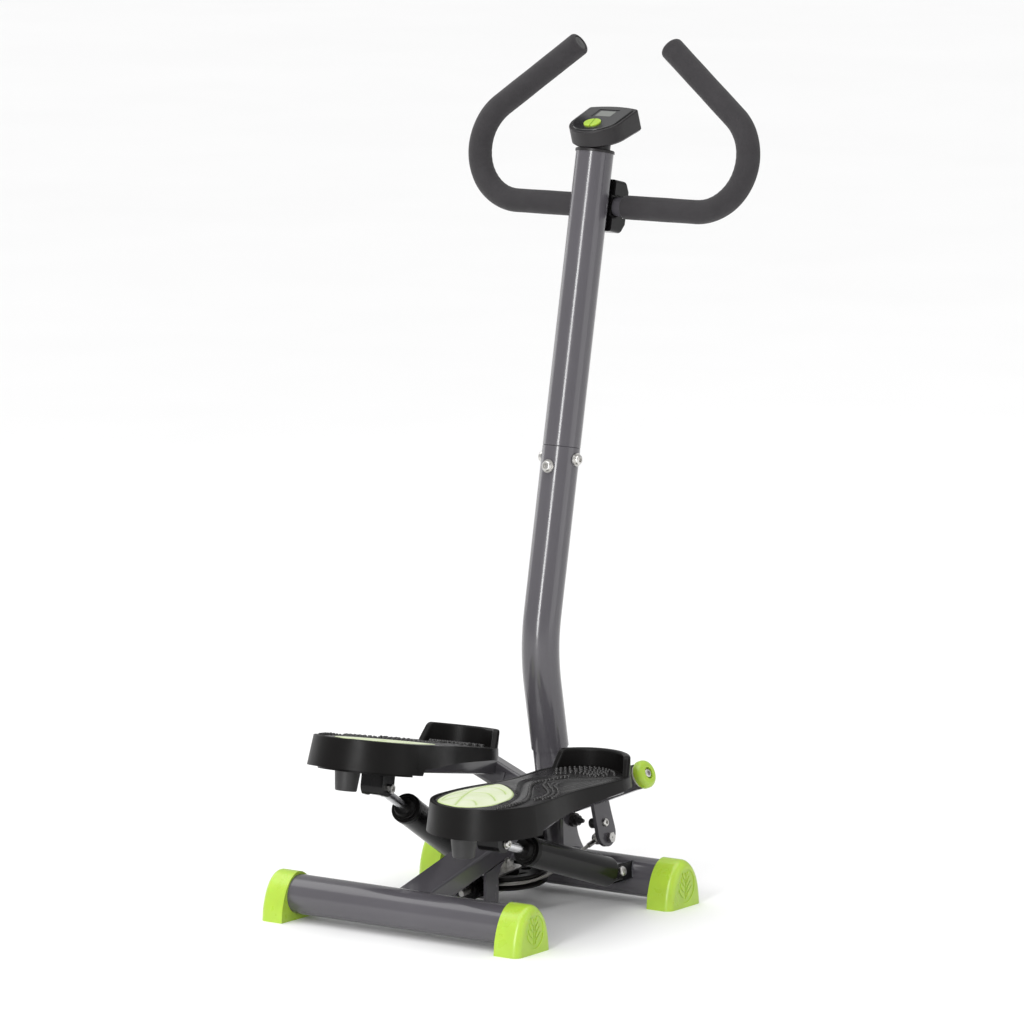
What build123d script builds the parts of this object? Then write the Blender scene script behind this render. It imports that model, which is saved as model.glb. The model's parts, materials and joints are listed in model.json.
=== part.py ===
from build123d import *
import math
import os

# Mini stepper with a handlebar post: two pedals swing on shafts that rise outward in a V,
# joined by one cable round a pulley, each held up by a hydraulic cylinder. Millimetres, +Z up,
# +X the user's right, +Y away from the user. Design Y is measured from the rear floor tube's axis and
# CENTRE_Y moves the finished parts so that the origin is under the middle of the whole object.

os.makedirs("parts", exist_ok=True)

# ---- driving dimensions ----
CENTRE_Y = 226.8          # middle of the object's depth, from the rear floor tube
FIT = 0.05                # radial clearance of a running fit
TUBE_D = 48.0             # post
BASE_TUBE_D = 50.0        # floor tubes
TUBE_WALL = 1.5
TUBE_Z = 31.8             # height of the floor tubes' axes
FRONT_Y = 332.8           # front floor tube
BASE_W = 392.0            # floor width over the end caps
CAP_LENGTH = 35.0
CAP_DEPTH = 74.0
CAP_HEIGHT = 60.5

BEAM_W, BEAM_H, BEAM_RISE = 50.0, 25.0, 14.2    # spine between the floor tubes, rise in degrees

POST_LEAN = math.degrees(math.atan(0.2))        # the lower post leans back, the upper post forward
BEND_Y, BEND_Z, BEND_R = 289.8, 315.5, 226.0    # corner of the two post directions and bend radius
POST_FOOT_Z, POST_JOINT_Z, POST_TOP_Z = 188.0, 567.8, 935.0
STUB_D = 44.8

BAR_Y, BAR_Z, BAR_LEAN = 438.7, 865.2, 12.0     # middle of the handlebar and its lean away from the user
BAR_HALF, BAR_BEND_R, BAR_TURN, BAR_ARM = 136.6, 68.0, 142.2, 139.0
BAR_D, BAR_CLAMP_W, GRIP_D, GRIP_START = 25.4, 44.0, 31.0, 28.5

PIVOT_Y, PIVOT_Z, PIVOT_RISE = 322.0, 108.0, 22.4   # the two pivot axes meet on the middle plane
SHAFT_D, SLEEVE_SIDE = 20.0, 32.0
SLEEVE_IN, SLEEVE_OUT, SHAFT_OUT = 38.0, 143.0, 146.5   # distances along the axis
LEFT_RAISE = 11.4         # how far the left pedal stands above the right one, degrees

PEDAL_TOP_Z = 176.5       # tread height of the level pedal
HEEL_X, HEEL_Y, HEEL_R = 103.5, 32.0, 70.5
TOE_X, TOE_Y, TOE_R = 106.5, 231.0, 61.5
SKIRT_DEEP, SKIRT_THIN, SKIRT_WALL, TREAD = 38.0, 14.5, 3.5, 4.0
LIP_HEIGHT, LIP_WALL, LIP_START, LIP_SLOPE = 23.5, 9.5, 247.0, 24.0
STEP_Y = 42.0              # where the deep skirt under the heel ends

CLEVIS_X, CLEVIS_Y, CLEVIS_Z = 98.9, 56.2, 117.8      # rod pivot on the level pedal
ANCHOR_X, ANCHOR_Y, ANCHOR_Z = 117.0, 290.0, 41.0     # lower pivot of the cylinder
BODY_D, GLAND_AT, BODY_FOOT = 37.5, 194.0, 13.0
ROD_D, ROD_LENGTH, PIVOT_BOLT_D, EYE_BORE = 12.0, 146.4, 6.0, 14.4

PULLEY_Y, PULLEY_Z, PULLEY_TILT = 223.0, 37.5, 4.0
PULLEY_R, PULLEY_W, GROOVE_R, CABLE_D = 50.0, 17.0, 43.5, 5.0
FERRULE = 19.0            # from the lever pin to the end of the crimped ferrule
LEVER_PIN = (65.0, 329.5, 74.0)   # where the cable hooks on to the level pedal's lever
LEVER_BOLT = (2.0, -40.0)         # rubber bumper's bolt on the lever plate

CONSOLE_Y, CONSOLE_Z, CONSOLE_TILT = 421.5, 975.8, 19.5
CONSOLE_W, CONSOLE_BACK, CONSOLE_BOW, CONSOLE_H = 74.0, 37.5, 5.5, 28.5
CONSOLE_WEDGE = 4.5          # degrees the console's floor rises towards the user
FACE_INSET, LCD_W, LCD_D, LCD_Y = 4.5, 31.0, 23.0, 17.5
BUTTON_R, BUTTON_Y, BUTTON_SPLIT = 11.5, -13.5, 13.0

# ---- helpers ----
RIGHT_AXIS = Vector(math.cos(math.radians(PIVOT_RISE)), 0, math.sin(math.radians(PIVOT_RISE)))
APEX = Vector(0, PIVOT_Y, PIVOT_Z)


def export(node, shape):
    export_step(Pos(0, -CENTRE_Y, 0) * shape, "parts/" + node + ".step")


def mirror_x(shape):
    return mirror(shape, about=Plane.YZ)


def group(shapes):
    return Compound(children=list(shapes))


def along(start, end):
    """A plane at start whose normal points to end, for rods and bolts between two places."""
    return Plane(origin=start, z_dir=Vector(*end) - Vector(*start))


def rod(start, end, diameter):
    length = (Vector(*end) - Vector(*start)).length
    return along(start, end) * extrude(Circle(diameter / 2), length)


def tube(path, outer, wall):
    section = Plane(origin=path @ 0, z_dir=path % 0)
    full = sweep(section * Circle(outer / 2), path=path)
    bore = sweep(section * Circle(outer / 2 - wall), path=path)
    return full - bore


def swung(point):
    """A level-pedal point carried up with the pedal, still on the right side."""
    arm = Vector(*point) - APEX
    return APEX + arm.rotate(Axis((0, 0, 0), RIGHT_AXIS), -LEFT_RAISE)


def raised(shape):
    """The left pedal's pose: the level right pedal mirrored and swung up about its own axis."""
    return mirror_x(shape.rotate(Axis(APEX, RIGHT_AXIS), -LEFT_RAISE))


def post_y(z):
    slope = math.tan(math.radians(POST_LEAN))
    return BEND_Y + slope * (z - BEND_Z) * (1 if z > BEND_Z else -1)


def on_axis(distance):
    return APEX + RIGHT_AXIS * distance


def dome_bolt(place, head_d, head_h, shank_d, length, washer_d=0.0):
    """A dome-headed hexagon-socket bolt whose head stands out along the plane's normal."""
    head = extrude(Circle(head_d / 2), head_h)
    head = fillet(head.faces().sort_by(Axis.Z)[-1].edges(), head_h * 0.7)
    head -= Pos(0, 0, head_h) * extrude(RegularPolygon(head_d * 0.24, 6), -head_h * 0.6)
    bolt = head + extrude(Circle(shank_d / 2), -length)
    if washer_d:
        bolt = Pos(0, 0, 1.2) * bolt + extrude(Circle(washer_d / 2), 1.2)
    return place * bolt


def hex_nut(place, across, height, bore):
    nut = extrude(RegularPolygon(across / 2, 6, major_radius=False), height)
    return place * (nut - extrude(Circle(bore / 2), height))


# ---- floor frame ----
def floor_tube(y):
    half = BASE_W / 2 - 6
    path = Line((-half, y, TUBE_Z), (half, y, TUBE_Z))
    return tube(path, BASE_TUBE_D, TUBE_WALL)


def end_cap(y):
    """Arched plastic foot on the right end of a floor tube, with a leaf raised in an oval pocket."""
    half, face_x = CAP_DEPTH / 2, BASE_W / 2
    arch = Line((-half, 0), (half, 0))
    arch += Spline((half, 0), (half * 0.92, CAP_HEIGHT * 0.36), (half * 0.66, CAP_HEIGHT * 0.74),
                   (0, CAP_HEIGHT), (-half * 0.66, CAP_HEIGHT * 0.74), (-half * 0.92, CAP_HEIGHT * 0.36),
                   (-half, 0), tangents=((-0.08, 1), (-0.08, -1)))
    side = Plane(origin=(face_x - CAP_LENGTH, y, 0), x_dir=(0, 1, 0), z_dir=(1, 0, 0))
    solid = extrude(side * make_face(arch), CAP_LENGTH)
    solid = fillet(solid.faces().sort_by(Axis.X)[-1].edges().filter_by(GeomType.BSPLINE), 10)
    leaf = Rectangle(1.4, 33)
    for way in (-1, 1):
        for k in range(4):
            lobe = Rot(0, 0, -way * (42 - 5 * k)) * Ellipse(2.5 - 0.2 * k, 8.6 - 1.1 * k)
            leaf += Pos(way * (8.6 - 1.5 * k), -8.5 + 7.2 * k) * lobe
    face = Plane(origin=(face_x - 0.9, y, 27.5), x_dir=(0, 1, 0), z_dir=(1, 0, 0))
    solid -= face * extrude(Ellipse(19, 21) - leaf, 5)
    solid -= rod((face_x - CAP_LENGTH - 1, y, TUBE_Z), (face_x - 6, y, TUBE_Z), BASE_TUBE_D)
    return solid


def beam_top(y):
    return TUBE_Z + 14.2 + math.tan(math.radians(BEAM_RISE)) * y


def main_beam():
    """Rectangular spine, cut to the rear tube and butted against the mast."""
    rise = math.radians(BEAM_RISE)
    section = Plane(origin=(0, 0, beam_top(0)), z_dir=(0, math.cos(rise), math.sin(rise)), x_dir=(1, 0, 0))
    outer = RectangleRounded(BEAM_W, BEAM_H, 3)
    inner = RectangleRounded(BEAM_W - 3, BEAM_H - 3, 1.5)
    length = (PIVOT_Y - 14) / math.cos(rise)
    bar = section * (Pos(0, BEAM_H / 2 if section.y_dir.Z < 0 else -BEAM_H / 2)
                     * extrude(outer - inner, length))
    bar -= rod((-60, 0, TUBE_Z), (60, 0, TUBE_Z), BASE_TUBE_D)
    bar -= mast_line(STUB_D)
    for cheek in mast_plates().solids():
        bar -= cheek
    return bar & Pos(0, 200, 60) * Box(80, 400, 200)


def mast_line(diameter):
    """A straight bar along the lower post's line, from the front tube up into the post."""
    low, high = 34.0, POST_FOOT_Z + 45
    return rod((0, post_y(low), low), (0, post_y(high), high), diameter)


def mast_column():
    column = mast_line(STUB_D) - mast_line(STUB_D - 5)
    column -= rod((-60, FRONT_Y, TUBE_Z), (60, FRONT_Y, TUBE_Z), BASE_TUBE_D)
    for side in (1, -1):
        end = on_axis(SHAFT_OUT)
        column -= rod((0, PIVOT_Y, PIVOT_Z), (side * end.X, end.Y, end.Z), SHAFT_D)
    return column


def mast_plates():
    """Two flared cheeks welded to the front tube beside the mast; the pivot shafts pass through them."""
    outline = Polyline((PIVOT_Y - 18, 142), (PIVOT_Y - 15, 60), (PIVOT_Y - 10, 34), (FRONT_Y + 24, 34),
                       (FRONT_Y + 24, 46))
    outline += Spline((FRONT_Y + 24, 46), (FRONT_Y + 11, 66), (PIVOT_Y + 10, 105), (PIVOT_Y + 9, 142),
                      tangents=((-0.5, 1), (0, 1)))
    outline += Line((PIVOT_Y + 9, 142), (PIVOT_Y - 18, 142))
    inside = STUB_D / 2 + 0.2
    profile = Plane(origin=(inside, 0, 0), x_dir=(0, 1, 0), z_dir=(1, 0, 0)) * make_face(outline)
    cheek = extrude(profile, 4.5)
    cheek -= rod((0, FRONT_Y, TUBE_Z), (60, FRONT_Y, TUBE_Z), BASE_TUBE_D)
    cheek -= rod(APEX, on_axis(60), SHAFT_D)
    return group([cheek, mirror_x(cheek)])


def mast_stop():
    """Stepped rubber cone screwed to the outside of a mast cheek."""
    place = Plane(origin=(STUB_D / 2 + 4.7, PIVOT_Y + 6, 94), z_dir=(1, 0, 0))
    cone = extrude(Circle(9), 4.5) + Pos(0, 0, 4.5) * extrude(Circle(6.5), 5)
    cone += Pos(0, 0, 9.5) * Cone(4.6, 2.2, 7, align=(Align.CENTER, Align.CENTER, Align.MIN))
    return place * cone


def pivot_shafts():
    shaft = rod(APEX + RIGHT_AXIS * 5, on_axis(SHAFT_OUT), SHAFT_D)
    shaft -= rod(on_axis(SHAFT_OUT - 26), on_axis(SHAFT_OUT + 1), 8)
    shaft &= Pos(100.1, PIVOT_Y, PIVOT_Z) * Box(200, 100, 200)
    return group([shaft, mirror_x(shaft)])


def pivot_cap():
    """Domed plastic cap bolted to the end of the shaft, with a recess for the bolt head."""
    place = Plane(origin=on_axis(SHAFT_OUT), z_dir=RIGHT_AXIS)
    cap = extrude(Circle(18), 12)
    cap = fillet(cap.faces().sort_by(Axis.Z)[-1].edges(), 7)
    cap = chamfer(cap.faces().sort_by(Axis.Z)[0].edges(), 1)
    cap -= Pos(0, 0, 8) * extrude(Circle(7.5), 6) + extrude(Circle(4), 12)
    return place * cap


def pivot_cap_bolt():
    place = Plane(origin=on_axis(SHAFT_OUT + 8), z_dir=RIGHT_AXIS)
    return dome_bolt(place, 12, 4, 8, 30)


ANCHOR_PLANE = Plane(origin=(ANCHOR_X, ANCHOR_Y, ANCHOR_Z), x_dir=(0, 1, 0), z_dir=RIGHT_AXIS)


def cylinder_bracket():
    """Folded steel clevis on the front tube, square to the pedal's axis and open towards the user."""
    sheet = ANCHOR_PLANE * extrude(Circle(10) + Pos(15, -1) * Rectangle(30, 20), 11.5, both=True)
    sheet -= ANCHOR_PLANE * (Pos(-4, 0, 0) * Box(30, 60, 16.5) + Cylinder(4, 60))
    return sheet - rod((60, FRONT_Y, TUBE_Z), (180, FRONT_Y, TUBE_Z), BASE_TUBE_D)


def cylinder_bolt():
    bolt = dome_bolt(ANCHOR_PLANE.offset(11.5), 13, 4, 8, 30)
    return bolt + hex_nut(ANCHOR_PLANE.offset(-17), 12, 5.5, 8)


# ---- cable, pulley and adjuster under the beam ----
PULLEY_PLANE = Plane(origin=(0, PULLEY_Y, PULLEY_Z), x_dir=(1, 0, 0),
                     z_dir=(0, -math.sin(math.radians(PULLEY_TILT)), math.cos(math.radians(PULLEY_TILT))))


def pulley():
    """Grooved wheel with six lightening holes and a raised hub, turned as one profile."""
    half, r = PULLEY_W / 2, PULLEY_R
    profile = Polyline((5 + FIT, -half), (14, -half), (14, -4), (GROOVE_R - 8, -4), (GROOVE_R - 6, -half),
                       (r - 1.5, -half), (r, -half + 1.5), (r, -half + 3), (GROOVE_R, -1.8), (GROOVE_R, 1.8),
                       (r, half - 3), (r, half - 1.5), (r - 1.5, half), (GROOVE_R - 6, half),
                       (GROOVE_R - 8, 4), (14, 4), (14, half), (5 + FIT, half), (5 + FIT, -half))
    wheel = revolve(Plane.XZ * make_face(profile), Axis.Z)
    for hole in PolarLocations(25, 6):
        wheel -= hole * Cylinder(6.5, 12)
    return PULLEY_PLANE * wheel


def pulley_yoke():
    """Zinc-plated strap folded round the back of the pulley."""
    back = -PULLEY_R - 5.0
    strap = Pos(0, (back + 14) / 2, 0) * Box(34, 14 - back, PULLEY_W + 5)
    strap -= Pos(0, (back + 2.2 + 14) / 2 + 1, 0) * Box(40, 14 - back, PULLEY_W + 0.8)
    strap = fillet(strap.edges().filter_by(Axis.Z).group_by(Axis.Y)[-1], 12)
    strap -= Cylinder(5, 60) + Pos(0, back, 0) * Rot(90, 0, 0) * Cylinder(4, 20)
    return PULLEY_PLANE * strap


def pulley_bolt():
    bolt = dome_bolt(Plane(origin=(0, 0, -PULLEY_W / 2 - 2.5), z_dir=(0, 0, -1)), 15, 5, 10, 32)
    bolt += hex_nut(Plane(origin=(0, 0, PULLEY_W / 2 + 2.5)), 15, 6, 10)
    return PULLEY_PLANE * bolt


def adjuster_rod():
    """Threaded rod from the yoke back through the bracket and the knob."""
    start, end = -PULLEY_R - 1.5, -PULLEY_Y + 121
    screw = Pos(0, (start + end) / 2, 0) * Rot(90, 0, 0) * Cylinder(4, start - end)
    for ring in range(int((start - end) / 2.5) - 1):
        groove = Pos(0, end + 2.5 + ring * 2.5, 0) * Rot(90, 0, 0)
        screw -= groove * (Cylinder(5, 0.8) - Cylinder(3.5, 0.8))
    screw += Pos(0, start - 3.7 - 2.2, 0) * Rot(90, 0, 0) * extrude(RegularPolygon(6.5, 6), 2, both=True)
    return PULLEY_PLANE * screw


def adjuster_knob():
    """Lobed plastic knob turning on the rod behind the bracket."""
    front = -PULLEY_Y + 158
    knob = extrude(Circle(13), 17) + extrude(Circle(10), 21)
    knob = fillet(knob.faces().sort_by(Axis.Z)[-1].edges(), 2)
    for notch in PolarLocations(14.5, 9):
        knob -= notch * Cylinder(2.6, 60)
    knob -= Cylinder(4 + FIT, 80)
    return PULLEY_PLANE * (Pos(0, front, 0) * Rot(90, 0, 0) * knob)


def knob_bracket():
    """Two legs flush with the beam's sides and the cross plate that the adjuster pulls against."""
    foot, head = 9.0, lambda y: beam_top(y) - BEAM_H
    outline = Polyline((140, foot + 3), (143, foot), (164, foot), (167, foot + 3), (167, 46))
    outline += Spline((167, 46), (171, 57), (184, head(184)), tangents=((0, 1), (1, 0.6)))
    outline += Polyline((184, head(184)), (184, head(184) + 6), (140, head(140) + 6), (140, foot + 3))
    profile = Plane(origin=(BEAM_W / 2 - 4, 0, 0), x_dir=(0, 1, 0), z_dir=(1, 0, 0)) * make_face(outline)
    leg = extrude(profile, 4) - beam_space()
    cross = Box(BEAM_W - 8, 3, 30) - Rot(90, 0, 0) * Cylinder(4.6, 20)
    return leg + mirror_x(leg) + PULLEY_PLANE * (Pos(0, 160 - PULLEY_Y, 0) * cross)


def beam_space():
    """The beam's outside as a solid bar, for cutting what is welded under it."""
    rise = math.radians(BEAM_RISE)
    section = Plane(origin=(0, 0, beam_top(0)), z_dir=(0, math.cos(rise), math.sin(rise)), x_dir=(1, 0, 0))
    shift = BEAM_H / 2 if section.y_dir.Z < 0 else -BEAM_H / 2
    return section * (Pos(0, shift) * extrude(Rectangle(BEAM_W + 1, BEAM_H), 330))


def cable_route():
    """Lever pin, half round the pulley groove, and on to the other lever's pin."""
    r = GROOVE_R + CABLE_D / 2 + 0.4
    turns = [180 + step * 18 for step in range(11)]
    half_round = [PULLEY_PLANE.from_local_coords(
        Vector(r * math.cos(math.radians(a)), r * math.sin(math.radians(a)), 0)) for a in turns]
    right = Vector(*LEVER_PIN)
    spot = swung(LEVER_PIN)
    left = Vector(-spot.X, spot.Y, spot.Z)
    forward = Vector(0, math.cos(math.radians(PULLEY_TILT)), math.sin(math.radians(PULLEY_TILT)))
    leave, join = half_round[-1] + forward * 24, half_round[0] + forward * 24
    ends = [pin + (near - pin).normalized() * (FERRULE + 0.3) for pin, near in ((left, join), (right, leave))]
    lead = [ends[0], (ends[0] + join) * 0.5, join]
    tail = [leave, (ends[1] + leave) * 0.5, ends[1]]
    return lead + half_round + tail


def cable():
    """Steel cable: straight runs joined by tangent arcs."""
    points, edges, last = cable_route(), [], None
    last = points[0]
    for before, corner, after in zip(points, points[1:], points[2:]):
        into, out = (corner - before), (after - corner)
        turn = into.get_angle(out)
        if turn < 0.05:
            continue
        reach = 0.45 * min(into.length, out.length)
        a, b = corner - into.normalized() * reach, corner + out.normalized() * reach
        half = math.radians(turn) / 2
        radius = reach / math.tan(half)
        inward = (out.normalized() - into.normalized()).normalized()
        middle = corner + inward * (radius / math.cos(half) - radius)
        edges += [Line(last, a), ThreePointArc(a, middle, b)]
        last = b
    edges.append(Line(last, points[-1]))
    path = Wire(edges)
    return sweep(Plane(origin=path @ 0, z_dir=path % 0) * Circle(CABLE_D / 2), path=path)


# ---- post, handlebar and console ----
def post_path():
    slope = math.radians(POST_LEAN)
    reach = BEND_R * math.tan(slope)
    foot, bend_in = (0, post_y(POST_FOOT_Z), POST_FOOT_Z), BEND_Z - reach * math.cos(slope)
    bend_out = BEND_Z + reach * math.cos(slope)
    middle_y = BEND_Y + BEND_R / math.cos(slope) - BEND_R
    low = Line(foot, (0, post_y(bend_in), bend_in))
    arc = ThreePointArc((0, post_y(bend_in), bend_in), (0, middle_y, BEND_Z), (0, post_y(bend_out), bend_out))
    high = Line((0, post_y(bend_out), bend_out), (0, post_y(POST_JOINT_Z), POST_JOINT_Z))
    return Wire([low, arc, high])


def bolt_holes():
    low, high = POST_JOINT_Z - 26, POST_JOINT_Z - 14
    rear = Vector(0, post_y(low), low)
    side = Vector(0, post_y(high), high)
    across = Vector(0, math.cos(math.radians(POST_LEAN)), -math.sin(math.radians(POST_LEAN)))
    return [(rear, across * -1), (side, Vector(1, 0, 0)), (side, Vector(-1, 0, 0))]


def lower_post():
    post = tube(post_path(), TUBE_D, TUBE_WALL)
    for centre, way in bolt_holes():
        post -= rod(centre, centre + way * 40, 8)
    return post


def upper_post():
    """Upper tube with a reduced spigot that plugs into the lower post."""
    low = (0, post_y(POST_JOINT_Z), POST_JOINT_Z)
    high = (0, post_y(POST_TOP_Z), POST_TOP_Z)
    deep = (0, post_y(POST_JOINT_Z - 70), POST_JOINT_Z - 70)
    post = rod(low, high, TUBE_D) + rod(deep, low, TUBE_D - 2 * TUBE_WALL)
    post -= rod(deep, high, TUBE_D - 2 * TUBE_WALL - 3)
    post = chamfer(post.edges().filter_by(GeomType.CIRCLE).sort_by(
        lambda e: abs(e.center().Z - POST_JOINT_Z) + (50 if e.radius < 23.5 else 0))[0], 1.0)
    for centre, way in bolt_holes():
        post -= rod(centre, centre + way * 40, 8)
    for centre, back in clamp_spots():
        post -= rod(centre, centre - back * 30, 8)
    return post


def post_bolts():
    bolts = []
    for centre, way in bolt_holes():
        place = Plane(origin=centre + way * (TUBE_D / 2), z_dir=way)
        saddle = Pos(0, 0, -TUBE_D / 2 + 0.6) * Rot(0, 90, 0) * Cylinder(TUBE_D / 2, 40)
        washer = extrude(Circle(8.5) - Circle(4), 2.4) - saddle
        head = Plane(origin=centre + way * (TUBE_D / 2 + 2.4), z_dir=way)
        bolts.append(dome_bolt(head, 13.5, 4.5, 8, 9) + place * washer)
    return bolts


POST_TOP = Plane(origin=(0, post_y(POST_TOP_Z), POST_TOP_Z), x_dir=(1, 0, 0),
                 z_dir=(0, math.sin(math.radians(POST_LEAN)), math.cos(math.radians(POST_LEAN))))


def post_collar():
    """Plastic plug and flange that carries the console."""
    collar = extrude(Circle(25), 4) + Pos(0, 0, -25) * extrude(Circle(TUBE_D / 2 - 3), 25)
    collar = chamfer(collar.faces().sort_by(Axis.Z)[-1].edges(), 1.2)
    return POST_TOP * collar


CONSOLE_PLANE = Plane(origin=(0, CONSOLE_Y, CONSOLE_Z), x_dir=(1, 0, 0),
                      z_dir=(0, -math.sin(math.radians(CONSOLE_TILT)), math.cos(math.radians(CONSOLE_TILT))))


def shield(inset):
    """Console outline: bowed back, straight sides, half-round front, in the console's own plane."""
    w, back, front = CONSOLE_W / 2 - inset, CONSOLE_BACK - inset, CONSOLE_W / 2 - inset
    outline = ThreePointArc((-w, back), (0, back + CONSOLE_BOW), (w, back)) + Line((w, back), (w, -2))
    outline += ThreePointArc((w, -2), (0, -2 - front), (-w, -2)) + Line((-w, -2), (-w, back))
    return fillet(make_face(outline).vertices().group_by(Axis.Y)[-1], 4)


def console_housing():
    """Shell whose floor rises towards the user, with a neck down to the collar and a pocket for the face."""
    body = Pos(0, 0, -CONSOLE_H) * extrude(shield(0), CONSOLE_H)
    body -= Pos(0, CONSOLE_BACK, -CONSOLE_H) * Rot(-CONSOLE_WEDGE, 0, 0) * Pos(0, 0, -20) * Box(120, 180, 40)
    body = chamfer(body.faces().sort_by(Axis.Z)[0].edges(), 2.5)
    body = CONSOLE_PLANE * fillet(body.faces().sort_by(Axis.Z)[-1].edges(), 1.5)
    neck = POST_TOP * (Pos(0, 0, 4) * extrude(Circle(19), 26))
    body += neck - CONSOLE_PLANE * (Pos(0, 0, 20 - 6) * Box(120, 120, 40))
    body -= POST_TOP * (Pos(0, 0, -16) * Box(90, 90, 40.4))
    body -= CONSOLE_PLANE * (Pos(0, 0, -2) * extrude(shield(FACE_INSET - 0.3), 5))
    body -= CONSOLE_PLANE * (Pos(0, 0, -12) * extrude(shield(FACE_INSET + 3), 12))
    return body


def console_face():
    plate = Pos(0, 0, -2) * extrude(shield(FACE_INSET), 3.5)
    plate = fillet(plate.faces().sort_by(Axis.Z)[-1].edges(), 1.3)
    plate -= Pos(0, LCD_Y, 0) * Box(LCD_W, LCD_D, 12)
    plate -= Pos(0, BUTTON_Y, 0) * extrude(Ellipse(BUTTON_R + 0.4, BUTTON_R - 0.6), 12, both=True)
    return CONSOLE_PLANE * plate


def lcd_window():
    return CONSOLE_PLANE * (Pos(0, LCD_Y, -0.2) * Box(LCD_W, LCD_D, 2.2))


def console_button():
    """Right half of the split round key, on a stem that reaches into the housing."""
    key = extrude(Ellipse(BUTTON_R, BUTTON_R - 1), 4.6)
    key &= Rot(0, 0, BUTTON_SPLIT) * Pos(20.4, 0, 0) * Box(40, 60, 20)
    key = fillet(key.faces().sort_by(Axis.Z)[-1].edges(), 0.8)
    key += Pos(5.5, 0, -4) * Cylinder(2.5, 8)
    return key


def battery_cover():
    floor = Pos(0, CONSOLE_BACK, -CONSOLE_H) * Rot(-CONSOLE_WEDGE, 0, 0) * Pos(0, -14, 0)
    return CONSOLE_PLANE * floor * extrude(RectangleRounded(32, 20, 3), -1.2)


def bar_plane():
    lean = math.radians(BAR_LEAN)
    return Plane(origin=(0, BAR_Y, BAR_Z), x_dir=(1, 0, 0), z_dir=(0, -math.cos(lean), math.sin(lean)))


def bar_points():
    turn = math.radians(BAR_TURN)
    bend = (BAR_HALF + BAR_BEND_R * math.sin(turn), BAR_BEND_R * (1 - math.cos(turn)))
    mid = (BAR_HALF + BAR_BEND_R * math.sin(turn / 2), BAR_BEND_R * (1 - math.cos(turn / 2)))
    end = (bend[0] + BAR_ARM * math.cos(turn), bend[1] + BAR_ARM * math.sin(turn))
    return mid, bend, end


def half_bar(start, stop_short):
    mid, bend, end = bar_points()
    reach = BAR_ARM - stop_short
    tip = (bend[0] + (end[0] - bend[0]) * reach / BAR_ARM, bend[1] + (end[1] - bend[1]) * reach / BAR_ARM)
    wire = Wire([Line((start, 0), (BAR_HALF, 0)), ThreePointArc((BAR_HALF, 0), mid, bend), Line(bend, tip)])
    return bar_plane() * wire


def handlebar_tube():
    half = tube(half_bar(0, 6), BAR_D, 2)
    return half + mirror_x(half)


def grip():
    """Foam sleeve over one half of the bar, closed and rounded at its end."""
    path = half_bar(GRIP_START, 0)
    section = Plane(origin=path @ 0, z_dir=path % 0)
    foam = sweep(section * Circle(GRIP_D / 2), path=path)
    tip = foam.faces().filter_by(GeomType.PLANE).sort_by(Axis.Z)[-1]
    foam = fillet(tip.edges(), 5)
    inner = half_bar(GRIP_START - 1, 6)
    bore = sweep(Plane(origin=inner @ 0, z_dir=inner % 0) * Circle(BAR_D / 2), path=inner)
    return foam - bore


def bar_clamp():
    """Saddle behind the post: two halves of one folded plate round the bar, with a flange above and below."""
    profile = RectangleRounded(BAR_CLAMP_W, 66, 4)
    block = bar_plane() * extrude(profile, 15, both=True)
    block -= rod((-60, BAR_Y, BAR_Z), (60, BAR_Y, BAR_Z), BAR_D)
    low, high = BAR_Z - 60, BAR_Z + 60
    block -= rod((0, post_y(low), low), (0, post_y(high), high), TUBE_D)
    for side in (-1, 1):
        corner = bar_plane() * (Pos(0, side * 36, -19) * Rot(side * 34, 0, 0) * Box(60, 30, 24))
        block -= corner
        block -= bar_plane() * (Pos(side * 27, 0, 0) * Box(20, BAR_D + 1.6, 60))
    for centre, back in clamp_spots():
        block -= rod(centre - back * 60, centre + back * 60, 8)
        block -= rod(centre + back * 10.5, centre + back * 40, 15)
    return block


def clamp_spots():
    """The saddle's two bolts: their places on the bar's plane, and the way out behind the post."""
    lean = math.radians(BAR_LEAN)
    back = Vector(0, math.cos(lean), -math.sin(lean))
    up = Vector(0, math.sin(lean), math.cos(lean))
    return [(Vector(0, BAR_Y, BAR_Z) + up * shift, back) for shift in (-23.5, 23.5)]


def clamp_bolts():
    """Two bolts from behind through the saddle into the post."""
    return [dome_bolt(Plane(origin=centre + back * 10.5, z_dir=back), 13, 4.5, 7.9, 26)
            for centre, back in clamp_spots()]


# ---- pedals ----
def pedal_outline(grow=0.0):
    """Foot-shaped plan: round heel and toe joined by hollowed flanks."""
    heel, toe = HEEL_R + grow, TOE_R + grow
    flank = Spline((HEEL_X + heel, HEEL_Y), (164 + grow, 125), (TOE_X + toe, TOE_Y),
                   tangents=((0, 1), (0, 1)))
    waist = Spline((TOE_X - toe, TOE_Y), (49 - grow, 152), (37 - grow, 90), (HEEL_X - heel, HEEL_Y),
                   tangents=((0, -1), (0, -1)))
    back = ThreePointArc((HEEL_X - heel, HEEL_Y), (HEEL_X, HEEL_Y - heel), (HEEL_X + heel, HEEL_Y))
    front = ThreePointArc((TOE_X + toe, TOE_Y), (TOE_X, TOE_Y + toe), (TOE_X - toe, TOE_Y))
    return make_face([flank, front, waist, back])


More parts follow.
